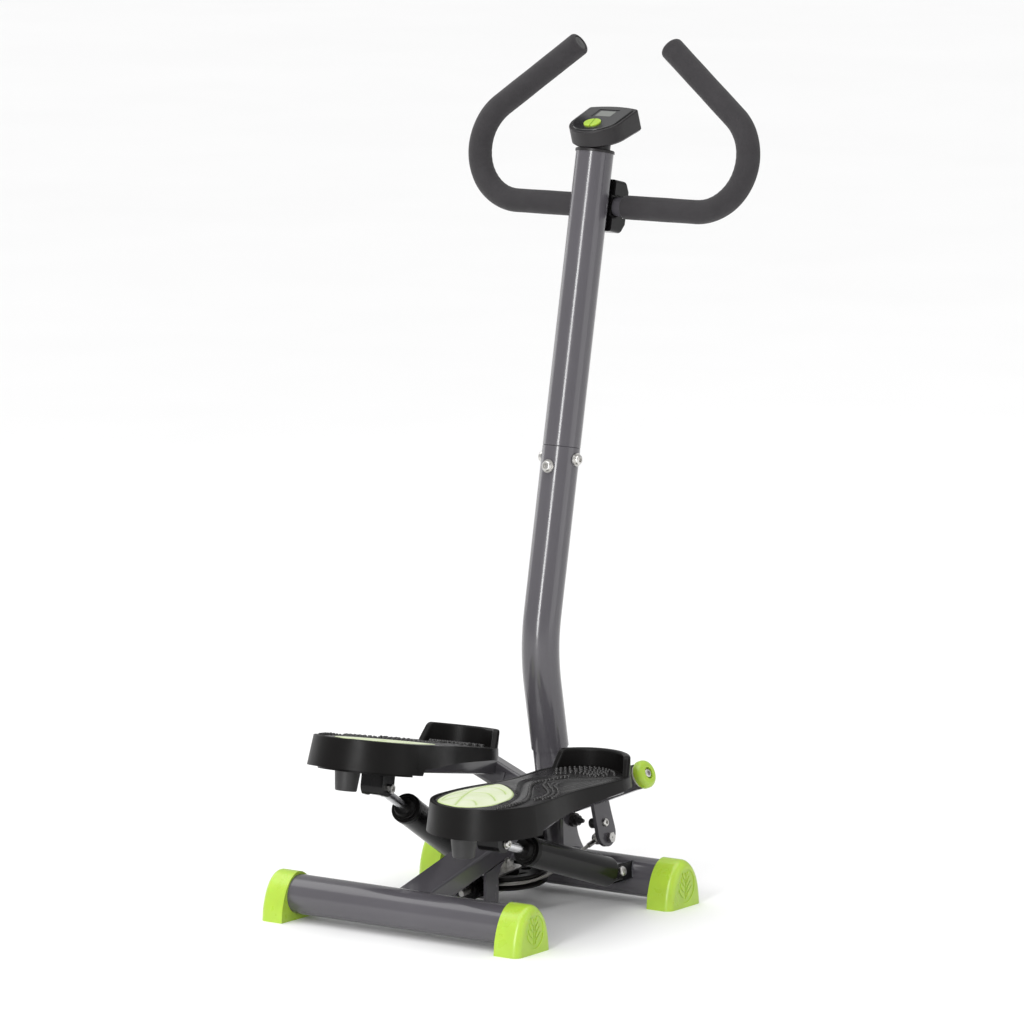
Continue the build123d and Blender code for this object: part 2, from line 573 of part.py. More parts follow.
def skirt_block(grow, drop):
    """Pedal block of the given growth, its underside following the skirt's hem less a drop."""
    top, deep = PEDAL_TOP_Z, PEDAL_TOP_Z - 45
    flared = loft([Pos(0, 0, deep) * pedal_outline(grow + 5.5), Pos(0, 0, top) * pedal_outline(grow)])
    hem = [(-80, PEDAL_TOP_Z - SKIRT_DEEP), (STEP_Y, PEDAL_TOP_Z - SKIRT_DEEP),
           (STEP_Y + 5, PEDAL_TOP_Z - SKIRT_DEEP + 8), (240, PEDAL_TOP_Z - SKIRT_THIN),
           (320, PEDAL_TOP_Z - SKIRT_THIN)]
    below = Polyline(*hem, (320, 60), (-80, 60), hem[0])
    cutter = Plane(origin=(-100, 0, drop), x_dir=(0, 1, 0), z_dir=(1, 0, 0)) * extrude(make_face(below), 400)
    return flared - cutter


def toe_side():
    """Everything forward of the toe wall's sloping ends, with their top corner rounded."""
    lean = math.tan(math.radians(LIP_SLOPE))
    low, high, front = PEDAL_TOP_Z - 5, PEDAL_TOP_Z + LIP_HEIGHT, LIP_START + 90
    foot, crest = (LIP_START - 5 * lean, low), (LIP_START + LIP_HEIGHT * lean, high)
    side = make_face(Polyline(foot, crest, (front, high), (front, low), foot))
    side = fillet(side.vertices().sort_by(Axis.X)[1], 8)
    return Plane(origin=(TOE_X, 0, 0), x_dir=(0, 1, 0), z_dir=(1, 0, 0)) * extrude(side, 90, both=True)


def pedal_shell():
    """Moulded tread: skirt, raised rim, toe wall, ribs that rest on the arm, and the pad's pocket."""
    shell = skirt_block(0, 0)
    shell = fillet(shell.faces().sort_by(Axis.Z)[-1].edges(), 1.5)
    shell -= Pos(0, 0, -TREAD) * skirt_block(-SKIRT_WALL, -10)
    shell -= Pos(0, 0, PEDAL_TOP_Z - 1.5) * extrude(pedal_outline(-5), 5)
    ring = pedal_outline(-0.5) - pedal_outline(-LIP_WALL)
    wall = Pos(0, 0, PEDAL_TOP_Z - 2) * extrude(ring, LIP_HEIGHT + 2) & toe_side()
    wall = fillet([edge for edge in wall.edges() if edge.center().Z > PEDAL_TOP_Z], 3)
    shell += wall
    ribs = [Pos(100, y, PEDAL_TOP_Z - 14) * Box(150, 3, 24) for y in (45, 105, 165, 225)]
    ribs += [Pos(x, 120, PEDAL_TOP_Z - 14) * Box(3, 250, 24) for x in (70, 130)]
    for rib in ribs:
        shell += rib & (Pos(0, 0, -TREAD + 1) * skirt_block(-SKIRT_WALL + 1, 5)) - arm_bar(1.0)
    shell -= Pos(0, 0, -0.2) * pad_solid(0.15)
    return shell


def pad_outline(grow):
    ring = [(104, -31), (130, -10), (130, 36), (108, 81), (64, 117), (50, 88), (45, 36), (62, -15)]
    middle = Vector(88, 42)
    spots = [middle + (Vector(*spot) - middle) * (1 + grow / 55) for spot in ring]
    return make_face(Spline(*spots, periodic=True))


def pad_solid(grow):
    return Pos(0, 0, PEDAL_TOP_Z - 3.5) * extrude(pad_outline(grow), 4)


def heel_pad():
    pad = pad_solid(0)
    return fillet(pad.faces().sort_by(Axis.Z)[-1].edges(), 1)


def arm_bar(clear):
    """The pedal arm's outside: a flat tube from under the heel to the sleeve, rising slightly forward."""
    start = (100, 5, PEDAL_TOP_Z - 29)
    end = (100, PIVOT_Y - 14, PIVOT_Z + 43)
    section = Plane(origin=start, x_dir=(1, 0, 0), z_dir=Vector(*end) - Vector(*start))
    length = (Vector(*end) - Vector(*start)).length
    return section * extrude(RectangleRounded(40 + 2 * clear, 20 + 2 * clear, 3), length)


def sleeve_box(clear=0.0):
    side = SLEEVE_SIDE + 2 * clear
    place = Plane(origin=on_axis(SLEEVE_IN - clear), x_dir=(0, 1, 0), z_dir=RIGHT_AXIS)
    return place * extrude(RectangleRounded(side, side, 5), SLEEVE_OUT - SLEEVE_IN + 2 * clear)


def pedal_arm():
    """Welded arm and pivot sleeve, hollow, with the lever plate hanging under the sleeve."""
    bar = arm_bar(0)
    hollow = Pos(0, 12, 0.7) * (arm_bar(-2) & Box(1000, 1000, 1000))
    arm = bar - hollow
    arm -= sleeve_box()
    sleeve = sleeve_box() - rod(on_axis(SLEEVE_IN - 5), on_axis(SLEEVE_OUT + 5), SHAFT_D + 5)
    return arm + sleeve + lever_plate()


def lever_plate():
    """Curved lever plate with the cable's boss and pin behind it, leaning outward as it hangs."""
    outline = Line((-18, 10), (17, 10))
    outline += Spline((17, 10), (19, -25), (23, -52), tangents=((0, -1), (0.1, -1)))
    outline += ThreePointArc((23, -52), (4, -71), (-15, -52))
    outline += Spline((-15, -52), (-16, -30), (-18, 10), tangents=((-0.02, 1), (-0.05, 1)))
    pin = LEVER_PLACE.to_local_coords(Vector(*LEVER_PIN))
    plate = extrude(make_face(outline), 5) - Pos(*LEVER_BOLT) * Cylinder(2.8, 20)
    plate += Pos(pin.X, pin.Y, pin.Z + 3.5) * extrude(Circle(7), -3.5 - pin.Z)
    plate += Pos(pin.X, pin.Y, pin.Z - 6.5) * (extrude(Circle(5.7), 3) + extrude(Circle(4.5), 12))
    return LEVER_PLACE * plate - sleeve_box()


LEVER_PLACE = Plane(origin=on_axis(72), x_dir=(0, 1, 0), z_dir=RIGHT_AXIS.rotate(Axis.Y, 12.5))


def cable_ferrule():
    """Eye on the lever's pin with a crimped neck that grips the cable's end."""
    pin = LEVER_PLACE.to_local_coords(Vector(*LEVER_PIN))
    eye = LEVER_PLACE * (Pos(pin.X, pin.Y, pin.Z - 3) * extrude(Circle(8) - Circle(4.9), 6))
    centre = Vector(*LEVER_PIN)
    way = (cable_route()[-2] - centre).normalized()
    return eye + rod(centre + way * 7.5, centre + way * FERRULE, 6.4)


def pedal_bolts():
    """Everything threaded or crimped on one pedal: bumper bolt, pin nut, cable ferrule and rod bolt."""
    pin = LEVER_PLACE.to_local_coords(Vector(*LEVER_PIN))
    first = LEVER_PLACE * dome_bolt(Plane(origin=(*LEVER_BOLT, 5)), 11, 3.5, 5, 5)
    nut = LEVER_PLACE * hex_nut(Plane(origin=(pin.X, pin.Y, 5)), 12, 5, 2)
    return group([first, nut, cable_ferrule(), clevis_bolt()])


def lever_bumper():
    bumper = LEVER_PLACE * (Pos(*LEVER_BOLT, -17) * extrude(Circle(6.5), 17))
    return fillet(bumper.faces().sort_by(Axis.X)[0].edges(), 2.5)


def sleeve_bushes():
    bushes = []
    for start, length in ((SLEEVE_IN - 2, 20), (SLEEVE_OUT - 18, 20)):
        place = Plane(origin=on_axis(start), z_dir=RIGHT_AXIS)
        bush = extrude(Circle(SHAFT_D / 2 + 2.5), length)
        bush += Pos(0, 0, 0 if start < 60 else length - 2) * extrude(Circle(15), 2)
        bushes.append(place * (bush - extrude(Circle(SHAFT_D / 2 + FIT), length)))
    return group(bushes)


def pedal_base():
    """Tray screwed under the heel, carrying the bumper and the rod clevis."""
    hem = PEDAL_TOP_Z - SKIRT_DEEP
    tray = Pos(0, 0, hem - 3) * extrude(pedal_outline(-9), 3)
    tray &= Pos(100, STEP_Y - 75, hem) * Box(200, 146, 20)
    return tray - arm_bar(0.0)


def pedal_bumper():
    top = PEDAL_TOP_Z - SKIRT_DEEP - 3
    cone = Pos(102, -16, top - 24) * Cone(13.5, 16, 24, align=(Align.CENTER, Align.CENTER, Align.MIN))
    return fillet(cone.faces().sort_by(Axis.Z)[0].edges(), 2)


def rod_clevis():
    """Folded strap under the tray: a rounded web towards the user and two cheeks for the rod's bolt."""
    top = PEDAL_TOP_Z - SKIRT_DEEP - 3
    outline = Polyline((CLEVIS_Y - 18, top), (CLEVIS_Y + 10, top), (CLEVIS_Y + 10, CLEVIS_Z))
    low = CLEVIS_Z - 10
    outline += ThreePointArc((CLEVIS_Y + 10, CLEVIS_Z), (CLEVIS_Y, low), (CLEVIS_Y - 9, low))
    outline += Spline((CLEVIS_Y - 9, low), (CLEVIS_Y - 15.5, CLEVIS_Z - 6),
                      (CLEVIS_Y - 18, CLEVIS_Z + 2), tangents=((-1, 0), (0, 1)))
    outline += Line((CLEVIS_Y - 18, CLEVIS_Z + 2), (CLEVIS_Y - 18, top))
    profile = Plane(origin=(CLEVIS_X - 16, 0, 0), x_dir=(0, 1, 0), z_dir=(1, 0, 0)) * make_face(outline)
    strap = extrude(profile, 32)
    strap -= Pos(CLEVIS_X, CLEVIS_Y + 8, CLEVIS_Z - 6) * Box(24, 42, 46)
    strap -= rod((CLEVIS_X - 30, CLEVIS_Y, CLEVIS_Z), (CLEVIS_X + 30, CLEVIS_Y, CLEVIS_Z), PIVOT_BOLT_D)
    return strap


def clevis_bolt():
    place = Plane(origin=(CLEVIS_X + 16, CLEVIS_Y, CLEVIS_Z), z_dir=(1, 0, 0))
    bolt = dome_bolt(place, 11, 3.5, PIVOT_BOLT_D, 36, washer_d=13)
    nut = Plane(origin=(CLEVIS_X - 21, CLEVIS_Y, CLEVIS_Z), z_dir=(1, 0, 0))
    return bolt + hex_nut(nut, 10, 5, PIVOT_BOLT_D)


# ---- hydraulic cylinders ----
def right_rod_end():
    return Vector(CLEVIS_X, CLEVIS_Y, CLEVIS_Z)


def left_rod_end():
    """Where the left rod's eye stands while the left pedal is up, mirrored to the right side."""
    return swung((CLEVIS_X, CLEVIS_Y, CLEVIS_Z))


def cylinder_frame(rod_end):
    anchor = Vector(ANCHOR_X, ANCHOR_Y, ANCHOR_Z)
    way = (rod_end - anchor).normalized()
    side = Vector(1, 0, 0) - way * way.X
    return Plane(origin=anchor, x_dir=side, z_dir=way), (rod_end - anchor).length


def cylinder_body(rod_end):
    """Steel tube with a welded foot lug; the piston runs in its bore."""
    place, _ = cylinder_frame(rod_end)
    body = Pos(0, 0, BODY_FOOT) * extrude(Circle(BODY_D / 2), GLAND_AT - 16 - BODY_FOOT)
    body = fillet(body.faces().sort_by(Axis.Z)[0].edges(), 6)
    body -= Pos(0, 0, BODY_FOOT + 8) * extrude(Circle(BODY_D / 2 - 2.5), 200)
    across = RIGHT_AXIS - place.z_dir * place.z_dir.dot(RIGHT_AXIS)
    foot = Plane(origin=place.origin, x_dir=across, z_dir=place.z_dir)
    lug = foot * (Pos(0, 0, BODY_FOOT / 2) * Box(14, 18, BODY_FOOT + 2)) + ANCHOR_PLANE * Cylinder(9.5, 14)
    return place * body + lug - ANCHOR_PLANE * Cylinder(4 + FIT, 40)


def cylinder_gland(rod_end):
    """Stepped plastic head that guides the rod."""
    place, _ = cylinder_frame(rod_end)
    head = extrude(Circle(BODY_D / 2 + 0.6), 7) + extrude(Circle(BODY_D / 2 - 2.5), 11)
    head = Pos(0, 0, GLAND_AT - 16) * head
    head += Pos(0, 0, GLAND_AT - 30) * extrude(Circle(BODY_D / 2 - 2.6), 14.5)
    head += Pos(0, 0, GLAND_AT - 5) * Cone(14, 11.5, 5, align=(Align.CENTER, Align.CENTER, Align.MIN))
    head -= Pos(0, 0, GLAND_AT - 60) * extrude(Circle(ROD_D / 2 + FIT), 100)
    return place * head


def piston_rod(rod_end):
    """Chromed rod with its piston and its eye; the eye has clearance round the clevis bolt."""
    place, length = cylinder_frame(rod_end)
    outer = EYE_BORE / 2 + 3.4
    shaft = Pos(0, 0, length - ROD_LENGTH) * extrude(Circle(ROD_D / 2), ROD_LENGTH - EYE_BORE / 2 - 1)
    shaft += Pos(0, 0, length - ROD_LENGTH) * extrude(Circle(BODY_D / 2 - 2.8), 12)
    shaft += Pos(0, 0, length) * Rot(0, 90, 0) * Cylinder(outer, 13.5)
    return place * (shaft - Pos(0, 0, length) * Rot(0, 90, 0) * Cylinder(EYE_BORE / 2, 40))


# ---- write every node ----
FRAME = {
    "rear_floor_tube": floor_tube(0), "front_floor_tube": floor_tube(FRONT_Y),
    "end_cap_rear_right": end_cap(0), "end_cap_rear_left": mirror_x(end_cap(0)),
    "end_cap_front_right": end_cap(FRONT_Y), "end_cap_front_left": mirror_x(end_cap(FRONT_Y)),
    "main_beam": main_beam(), "mast_column": mast_column(), "mast_plates": mast_plates(),
    "mast_stops": group([mast_stop(), mirror_x(mast_stop())]), "pivot_shafts": pivot_shafts(),
    "pivot_cap_right": pivot_cap(), "pivot_cap_left": mirror_x(pivot_cap()),
    "cylinder_brackets": group([cylinder_bracket(), mirror_x(cylinder_bracket())]),
    "side_bolts": group([pivot_cap_bolt(), mirror_x(pivot_cap_bolt()), cylinder_bolt(),
                         mirror_x(cylinder_bolt())]),
    "knob_bracket": knob_bracket(), "pulley_yoke": pulley_yoke(), "pulley_bolt": pulley_bolt(),
    "adjuster_rod": adjuster_rod(), "adjuster_knob": adjuster_knob(), "pulley": pulley(), "cable": cable(),
    "lower_post": lower_post(), "upper_post": upper_post(), "post_bolts": group(post_bolts() + clamp_bolts()),
    "post_collar": post_collar(), "handlebar_tube": handlebar_tube(),
    "grip_right": grip(), "grip_left": mirror_x(grip()),
    "bar_clamp": bar_clamp(),
    "console_housing": console_housing(), "console_face": console_face(), "lcd_window": lcd_window(),
    "battery_cover": battery_cover(),
}
PEDAL = {
    "pedal_shell": pedal_shell(), "heel_pad": heel_pad(), "pedal_arm": pedal_arm(),
    "sleeve_bushes": sleeve_bushes(), "pedal_bolts": pedal_bolts(), "lever_bumper": lever_bumper(),
    "pedal_base": pedal_base(), "pedal_bumper": pedal_bumper(), "rod_clevis": rod_clevis(),
}
for node, shape in FRAME.items():
    export(node, shape)
for node, shape in PEDAL.items():
    export("right_" + node, shape)
    export("left_" + node, raised(shape))
for maker in (cylinder_body, cylinder_gland, piston_rod):
    export("right_" + maker.__name__, maker(right_rod_end()))
    export("left_" + maker.__name__, mirror_x(maker(left_rod_end())))
for side, turn in (("right", 0), ("left", 180)):
    key = Rot(0, 0, turn) * console_button()
    export(side + "_console_button", CONSOLE_PLANE * (Pos(0, BUTTON_Y, -1) * key))
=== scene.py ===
import json
import math

import bpy
import numpy as np
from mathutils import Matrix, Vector
from mathutils.bvhtree import BVHTree


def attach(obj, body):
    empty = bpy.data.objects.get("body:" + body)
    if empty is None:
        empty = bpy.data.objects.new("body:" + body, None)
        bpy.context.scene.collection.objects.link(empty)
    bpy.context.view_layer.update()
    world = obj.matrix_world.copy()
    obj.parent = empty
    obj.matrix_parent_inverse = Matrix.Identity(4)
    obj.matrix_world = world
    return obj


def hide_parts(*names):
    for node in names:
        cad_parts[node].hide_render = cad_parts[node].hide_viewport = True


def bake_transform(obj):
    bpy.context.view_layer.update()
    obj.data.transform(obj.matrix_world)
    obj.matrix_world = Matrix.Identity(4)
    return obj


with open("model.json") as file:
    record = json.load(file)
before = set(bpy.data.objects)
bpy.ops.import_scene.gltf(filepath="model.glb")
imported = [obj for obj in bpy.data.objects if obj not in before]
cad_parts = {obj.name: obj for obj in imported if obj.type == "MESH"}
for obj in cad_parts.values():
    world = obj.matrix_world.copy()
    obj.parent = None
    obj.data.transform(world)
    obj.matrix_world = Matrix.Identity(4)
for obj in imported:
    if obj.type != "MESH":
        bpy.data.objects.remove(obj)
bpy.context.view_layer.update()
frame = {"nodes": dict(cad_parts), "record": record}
NODES = frame["nodes"]

# ---- sizes in metres, in the row frame, the same as in part.py ----
MM = 0.001
DEPTH_MIDDLE = 0.2268                 # middle of the object behind the rear floor tube
APEX = np.array([0, 0.322 - DEPTH_MIDDLE, 0.108])      # where the two pedal axes meet
PIVOT_RISE = math.radians(22.4)
LEFT_RAISE = math.radians(11.4)       # the left pedal stands this much above the right one
TREAD_FLOOR = 0.175                   # floor of the tread's recess on the level pedal
PULLEY = np.array([0, 0.223 - DEPTH_MIDDLE, 0.0375])
PULLEY_TILT = math.radians(4.0)
ROUTE_R = 0.0464                      # the cable's centre line round the pulley
STRAND_R, STRAND_OUT, LAY_LENGTH = 0.00085, 0.00162, 0.021    # strand, its offset, one turn of the rope
LEVER_PIN = np.array([0.065, 0.3295 - DEPTH_MIDDLE, 0.074])
FERRULE = 0.0193                      # from a lever's pin to the end of the cable
BEAM_RISE = math.radians(14.2)
TUBE_Z, TUBE_R, FRONT_Y = 0.0318, 0.025, 0.3328 - DEPTH_MIDDLE     # floor tubes
ANCHOR_X, ANCHOR_Y, ANCHOR_Z = 0.117, 0.290 - DEPTH_MIDDLE, 0.041    # lower pivot of the cylinder
BAR = np.array([0, 0.4387 - DEPTH_MIDDLE, 0.8652])
BAR_LEAN = math.radians(12.0)
BAR_HALF, BAR_BEND_R, BAR_TURN, BAR_ARM = 0.1366, 0.068, math.radians(142.2), 0.139
GRIP_R, GRIP_START = 0.0155, 0.0285
GRIP_BORE, GRIP_SEGMENTS = 0.01275, 56
INNER_ROLL, OUTER_ROLL = 0.003, 0.0048     # length of the rounded ends of the foam
CONSOLE = np.array([0, 0.4215 - DEPTH_MIDDLE, 0.9758])
CONSOLE_TILT = math.radians(19.5)


# ---- node materials ----
class Shader:
    """A Principled material built up from object-space noise."""

    def __init__(self, name, colour, rough, metallic=0.0):
        self.mat = bpy.data.materials.new(name)
        self.mat.use_nodes = True
        self.tree = self.mat.node_tree
        self.bsdf = self.tree.nodes["Principled BSDF"]
        self.place = self.node("ShaderNodeTexCoord").outputs["Object"]
        self.bsdf.inputs["Metallic"].default_value = metallic
        self.bsdf.inputs["Roughness"].default_value = rough
        self.bsdf.inputs["Base Color"].default_value = (*colour, 1)
        self.colour, self.height = colour, None

    def node(self, kind, **settings):
        made = self.tree.nodes.new(kind)
        for key, value in settings.items():
            setattr(made, key, value)
        return made

    def link(self, a, b):
        self.tree.links.new(a, b)

    def noise(self, scale, detail=3.0, stretch=(1, 1, 1), roughness=0.55):
        """Noise with the given number of cells per metre."""
        spread = self.node("ShaderNodeMapping")
        spread.inputs["Scale"].default_value = stretch
        self.link(self.place, spread.inputs["Vector"])
        made = self.node("ShaderNodeTexNoise")
        made.inputs["Scale"].default_value = scale
        made.inputs["Detail"].default_value = detail
        made.inputs["Roughness"].default_value = roughness
        self.link(spread.outputs["Vector"], made.inputs["Vector"])
        return made.outputs["Fac"]

    def ramp(self, value, low, high, start=0.3, stop=0.7):
        made = self.node("ShaderNodeMapRange")
        made.inputs["From Min"].default_value = start
        made.inputs["From Max"].default_value = stop
        made.inputs["To Min"].default_value = low
        made.inputs["To Max"].default_value = high
        self.link(value, made.inputs["Value"])
        return made.outputs["Result"]

    def blend(self, factor, first, second):
        """Colour mix; first and second are colours or sockets."""
        made = self.node("ShaderNodeMix", data_type="RGBA")
        self.link(factor, made.inputs["Factor"])
        for socket, value in ((made.inputs[6], first), (made.inputs[7], second)):
            if isinstance(value, tuple):
                socket.default_value = (*value, 1)
            else:
                self.link(value, socket)
        return made.outputs[2]

    def tint(self, scale, spread, stretch=(1, 1, 1)):
        """Soft colour variation round the base colour."""
        dark = tuple(c * (1 - spread) for c in self.colour)
        light = tuple(min(1, c * (1 + spread)) for c in self.colour)
        return self.blend(self.ramp(self.noise(scale, 4, stretch), 0, 1), dark, light)

    def paint(self, colour):
        self.link(colour, self.bsdf.inputs["Base Color"])

    def gloss(self, value):
        self.link(value, self.bsdf.inputs["Roughness"])

    def bump(self, value, depth, strength=1.0):
        """Surface relief of the given depth in metres, stacked on what is there."""
        made = self.node("ShaderNodeBump")
        made.inputs["Strength"].default_value = strength
        made.inputs["Distance"].default_value = depth
        self.link(value, made.inputs["Height"])
        if self.height is not None:
            self.link(self.height, made.inputs["Normal"])
        self.height = made.outputs["Normal"]
        self.link(self.height, self.bsdf.inputs["Normal"])

    def attribute(self, name):
        return self.node("ShaderNodeAttribute", attribute_name=name).outputs["Fac"]

    def setting(self, **values):
        for key, value in values.items():
            self.bsdf.inputs[key.replace("_", " ")].default_value = value


def moulded(name, colour, rough, grain=0.00006, cells=1500, spread=0.06, coat=0.0, shine=0.5):
    """Injection-moulded plastic: spark-eroded grain, faint flow marks and handling shine."""
    m = Shader(name, colour, rough)
    m.paint(m.tint(9, spread))
    m.gloss(m.ramp(m.noise(28, 5), rough - 0.06, rough + 0.08))
    m.bump(m.noise(cells, 2), grain)
    m.bump(m.noise(16, 3), 0.0006, 0.35)
    m.setting(Coat_Weight=coat, Coat_Roughness=0.12, Specular_IOR_Level=shine)
    return m.mat


def painted(name, colour, rough, metallic, flake=0.12, coat=0.3, shine=0.5):
    """Sprayed gloss paint: fine flake, orange peel and light scuffs."""
    m = Shader(name, colour, rough, metallic)
    flakes = m.ramp(m.noise(3800, 1), 0, 1, 0.45, 0.62)
    base = m.tint(7, 0.07)
    m.paint(m.blend(flakes, base, tuple(min(1, c * (1 + flake)) for c in colour)))
    scuff = m.ramp(m.noise(40, 6, (1, 1, 0.25), 0.7), 0, 0.12, 0.6, 0.8)
    fine = m.node("ShaderNodeMath", operation="ADD")
    m.link(scuff, fine.inputs[0])
    m.link(m.ramp(m.noise(22, 4), rough - 0.04, rough + 0.04), fine.inputs[1])
    m.gloss(fine.outputs[0])
    m.bump(m.noise(300, 2), 0.000012)
    m.setting(Coat_Weight=coat, Coat_Roughness=0.05, Specular_IOR_Level=shine)
    return m.mat


def metal(name, colour, rough, lines=(1, 1, 12), tarnish=0.12):
    """Bare or plated metal with drawn lines, tarnish and fine scratches."""
    m = Shader(name, colour, rough, 1.0)
    m.paint(m.tint(60, tarnish))
    m.gloss(m.ramp(m.noise(500, 4, lines, 0.7), max(0.05, rough - 0.08), rough + 0.12))
    m.bump(m.noise(900, 3, lines), 0.00003)
    return m.mat


def rubber(name, colour, rough, grain=0.00008, cells=1100):
    m = Shader(name, colour, rough)
    bloom = m.ramp(m.noise(45, 5), 0, 0.5, 0.45, 0.8)
    m.paint(m.blend(bloom, m.tint(14, 0.12), tuple(c * 1.5 + 0.004 for c in colour)))
    m.gloss(m.ramp(m.noise(60, 4), rough - 0.08, rough + 0.06))
    m.bump(m.noise(cells, 3), grain)
    m.setting(Sheen_Weight=0.08, Sheen_Roughness=0.6)
    return m.mat


def foam(name):
    """Closed-cell foam: fine open pores whose pits are painted darker as shade, over soft blotches, no shine.
    """
    m = Shader(name, (0.036, 0.0335, 0.036), 0.92)
    cells = m.node("ShaderNodeTexVoronoi", feature="F1")
    cells.inputs["Scale"].default_value = 1250
    m.link(m.place, cells.inputs["Vector"])
    # pore centres, where the bump below sinks the surface, are painted darker: painted shade in the pits
    pore_shade = m.ramp(cells.outputs["Distance"], 0, 1, 0.12, 0.55)
    m.paint(m.blend(pore_shade, (0.020, 0.019, 0.021), m.tint(38, 0.10)))
    m.gloss(m.ramp(m.noise(70, 4), 0.84, 0.97))
    m.bump(cells.outputs["Distance"], 0.00022)
    m.bump(m.noise(180, 3), 0.00018)
    m.setting(Sheen_Weight=0.1, Sheen_Roughness=0.5, Specular_IOR_Level=0.3)
    return m.mat


def pad_finish(name):
    """Pale soft-touch inlay whose veins and border show the lime moulding."""
    m = Shader(name, (0.76, 0.83, 0.60), 0.5)
    pale = m.blend(m.ramp(m.noise(30, 4), 0, 1), (0.60, 0.67, 0.42), (0.68, 0.72, 0.55))
    m.paint(m.blend(m.attribute("vein"), pale, (0.38, 0.52, 0.13)))
    m.gloss(m.ramp(m.noise(80, 4), 0.40, 0.56))
    m.bump(m.noise(1300, 2), 0.00005)
    m.setting(Sheen_Weight=0.1, Sheen_Roughness=0.5)
    return m.mat


def translucent_plastic(name, colour):
    """Lime moulding, slightly translucent, with a waxy gloss."""
    m = Shader(name, colour, 0.3)
    m.paint(m.tint(24, 0.08))
    m.gloss(m.ramp(m.noise(50, 5), 0.24, 0.38))
    m.bump(m.noise(1100, 2), 0.00004)
    m.bump(m.noise(20, 3), 0.0002, 0.3)
    m.setting(Subsurface_Weight=0.12, Subsurface_Scale=0.004, Coat_Weight=0.15, Coat_Roughness=0.15)
    return m.mat


FINISH = {
    "frame_grey": painted("grey_gloss_paint", (0.074, 0.070, 0.079), 0.20, 0.0),
    "arm_black": painted("black_gloss_paint", (0.005, 0.0048, 0.005), 0.24, 0.0, 0.3, 0.1, 0.18),
    "lime_plastic": translucent_plastic("lime_moulding", (0.37, 0.55, 0.045)),
    "tread_black": moulded("tread_moulding", (0.0046, 0.0042, 0.0041), 0.36, shine=0.15),
    "rubber_black": rubber("black_rubber", (0.008, 0.0076, 0.008), 0.5),
    "foam_grip": foam("grip_foam"),
    "pad_green": pad_finish("leaf_inlay"),
    "zinc_steel": metal("zinc_plate", (0.60, 0.59, 0.57), 0.28),
    "chrome_rod": metal("ground_rod", (0.66, 0.66, 0.67), 0.16, (14, 14, 1), 0.05),
    "cable_steel": metal("rope_wire", (0.42, 0.41, 0.39), 0.38, (1, 1, 4)),
    "nylon_bush": moulded("natural_nylon", (0.62, 0.60, 0.52), 0.45),
    "console_black": moulded("console_moulding", (0.012, 0.0105, 0.0115), 0.38, 0.00008, 1900, shine=0.4),
    "console_face": moulded("face_overlay", (0.014, 0.014, 0.015), 0.16, 0.00001, 1500, 0.05, 0.3),
    "lcd_glass": moulded("display_bezel", (0.010, 0.010, 0.011), 0.10, 0.00001, 900, 0.05, 0.3),
}
for node, cad in NODES.items():
    material_slot = next(s["material_slot"] for s in frame["record"]["subparts"] if s["node"] == node)
    cad.data.materials.clear()
    cad.data.materials.append(FINISH[material_slot])
    cad.data.shade_smooth()
    cad.data.set_sharp_from_angle(angle=math.radians(32))
FINISH["screen"] = moulded("display_screen", (0.17, 0.18, 0.165), 0.22, 0.00002, 700, 0.03, 0.3)
# the relief is the tread's own plastic in a slightly lighter colour (and more shine), a lit copy so the
# tread's top reads bright: painted light
FINISH["relief"] = moulded("relief_moulding_lit_copy", (0.0055, 0.005, 0.005), 0.27, shine=0.5)
# the studs are the tread's plastic in a lighter colour, a painted highlight standing in for their lit tops
FINISH["stud"] = moulded("stud_moulding_painted_highlight", (0.012, 0.011, 0.011), 0.26, shine=0.55)
FINISH["weld"] = metal("painted_weld", (0.10, 0.10, 0.11), 0.35, (1, 1, 1), 0.2)
FINISH["plug"] = moulded("gloss_plug", (0.010, 0.010, 0.010), 0.16, 0.00002, 900, 0.05, 0.4)


# ---- mesh helpers ----
def piece(name, verts, faces, finish, body, smooth=True, slot=None, **masks):
    mesh = bpy.data.meshes.new(name)
    mesh.from_pydata([tuple(v) for v in verts], [], [tuple(f) for f in faces])
    mesh.materials.append(FINISH[finish])
    for key, values in masks.items():
        mesh.attributes.new(key, "FLOAT", "POINT").data.foreach_set("value", np.asarray(values, np.float32))
    if smooth:
        mesh.shade_smooth()
        mesh.set_sharp_from_angle(angle=math.radians(50))
    made = bpy.data.objects.new(name, mesh)
    bpy.context.scene.collection.objects.link(made)
    if body:
        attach(made, body)
    return made


def grid_faces(rows, columns, wrap=False):
    span = columns if wrap else columns - 1
    return [(r * columns + c, r * columns + (c + 1) % columns,
             (r + 1) * columns + (c + 1) % columns, (r + 1) * columns + c)
            for r in range(rows - 1) for c in range(span)]


def turned(points, axis, angle, about):
    axis = axis / np.linalg.norm(axis)
    v = points - about
    return (about + v * math.cos(angle) + np.cross(axis, v) * math.sin(angle)
            + np.outer(v @ axis, axis) * (1 - math.cos(angle)))


def on_pedal(side, points):
    """Points given on the level right pedal, taken to the named pedal's rest place."""
    points = np.asarray(points, float)
    if side == "right":
        return points
    axis = np.array([-math.cos(PIVOT_RISE), 0, -math.sin(PIVOT_RISE)])
    return turned(points, axis, LEFT_RAISE, APEX) * np.array([-1, 1, 1])


def facing(side, faces):
    return faces if side == "right" else [tuple(reversed(f)) for f in faces]


def plan(points):
    """Plan points in millimetres from the rear floor tube, as row-frame metres."""
    return np.array([(x * MM, y * MM - DEPTH_MIDDLE) for x, y in points])


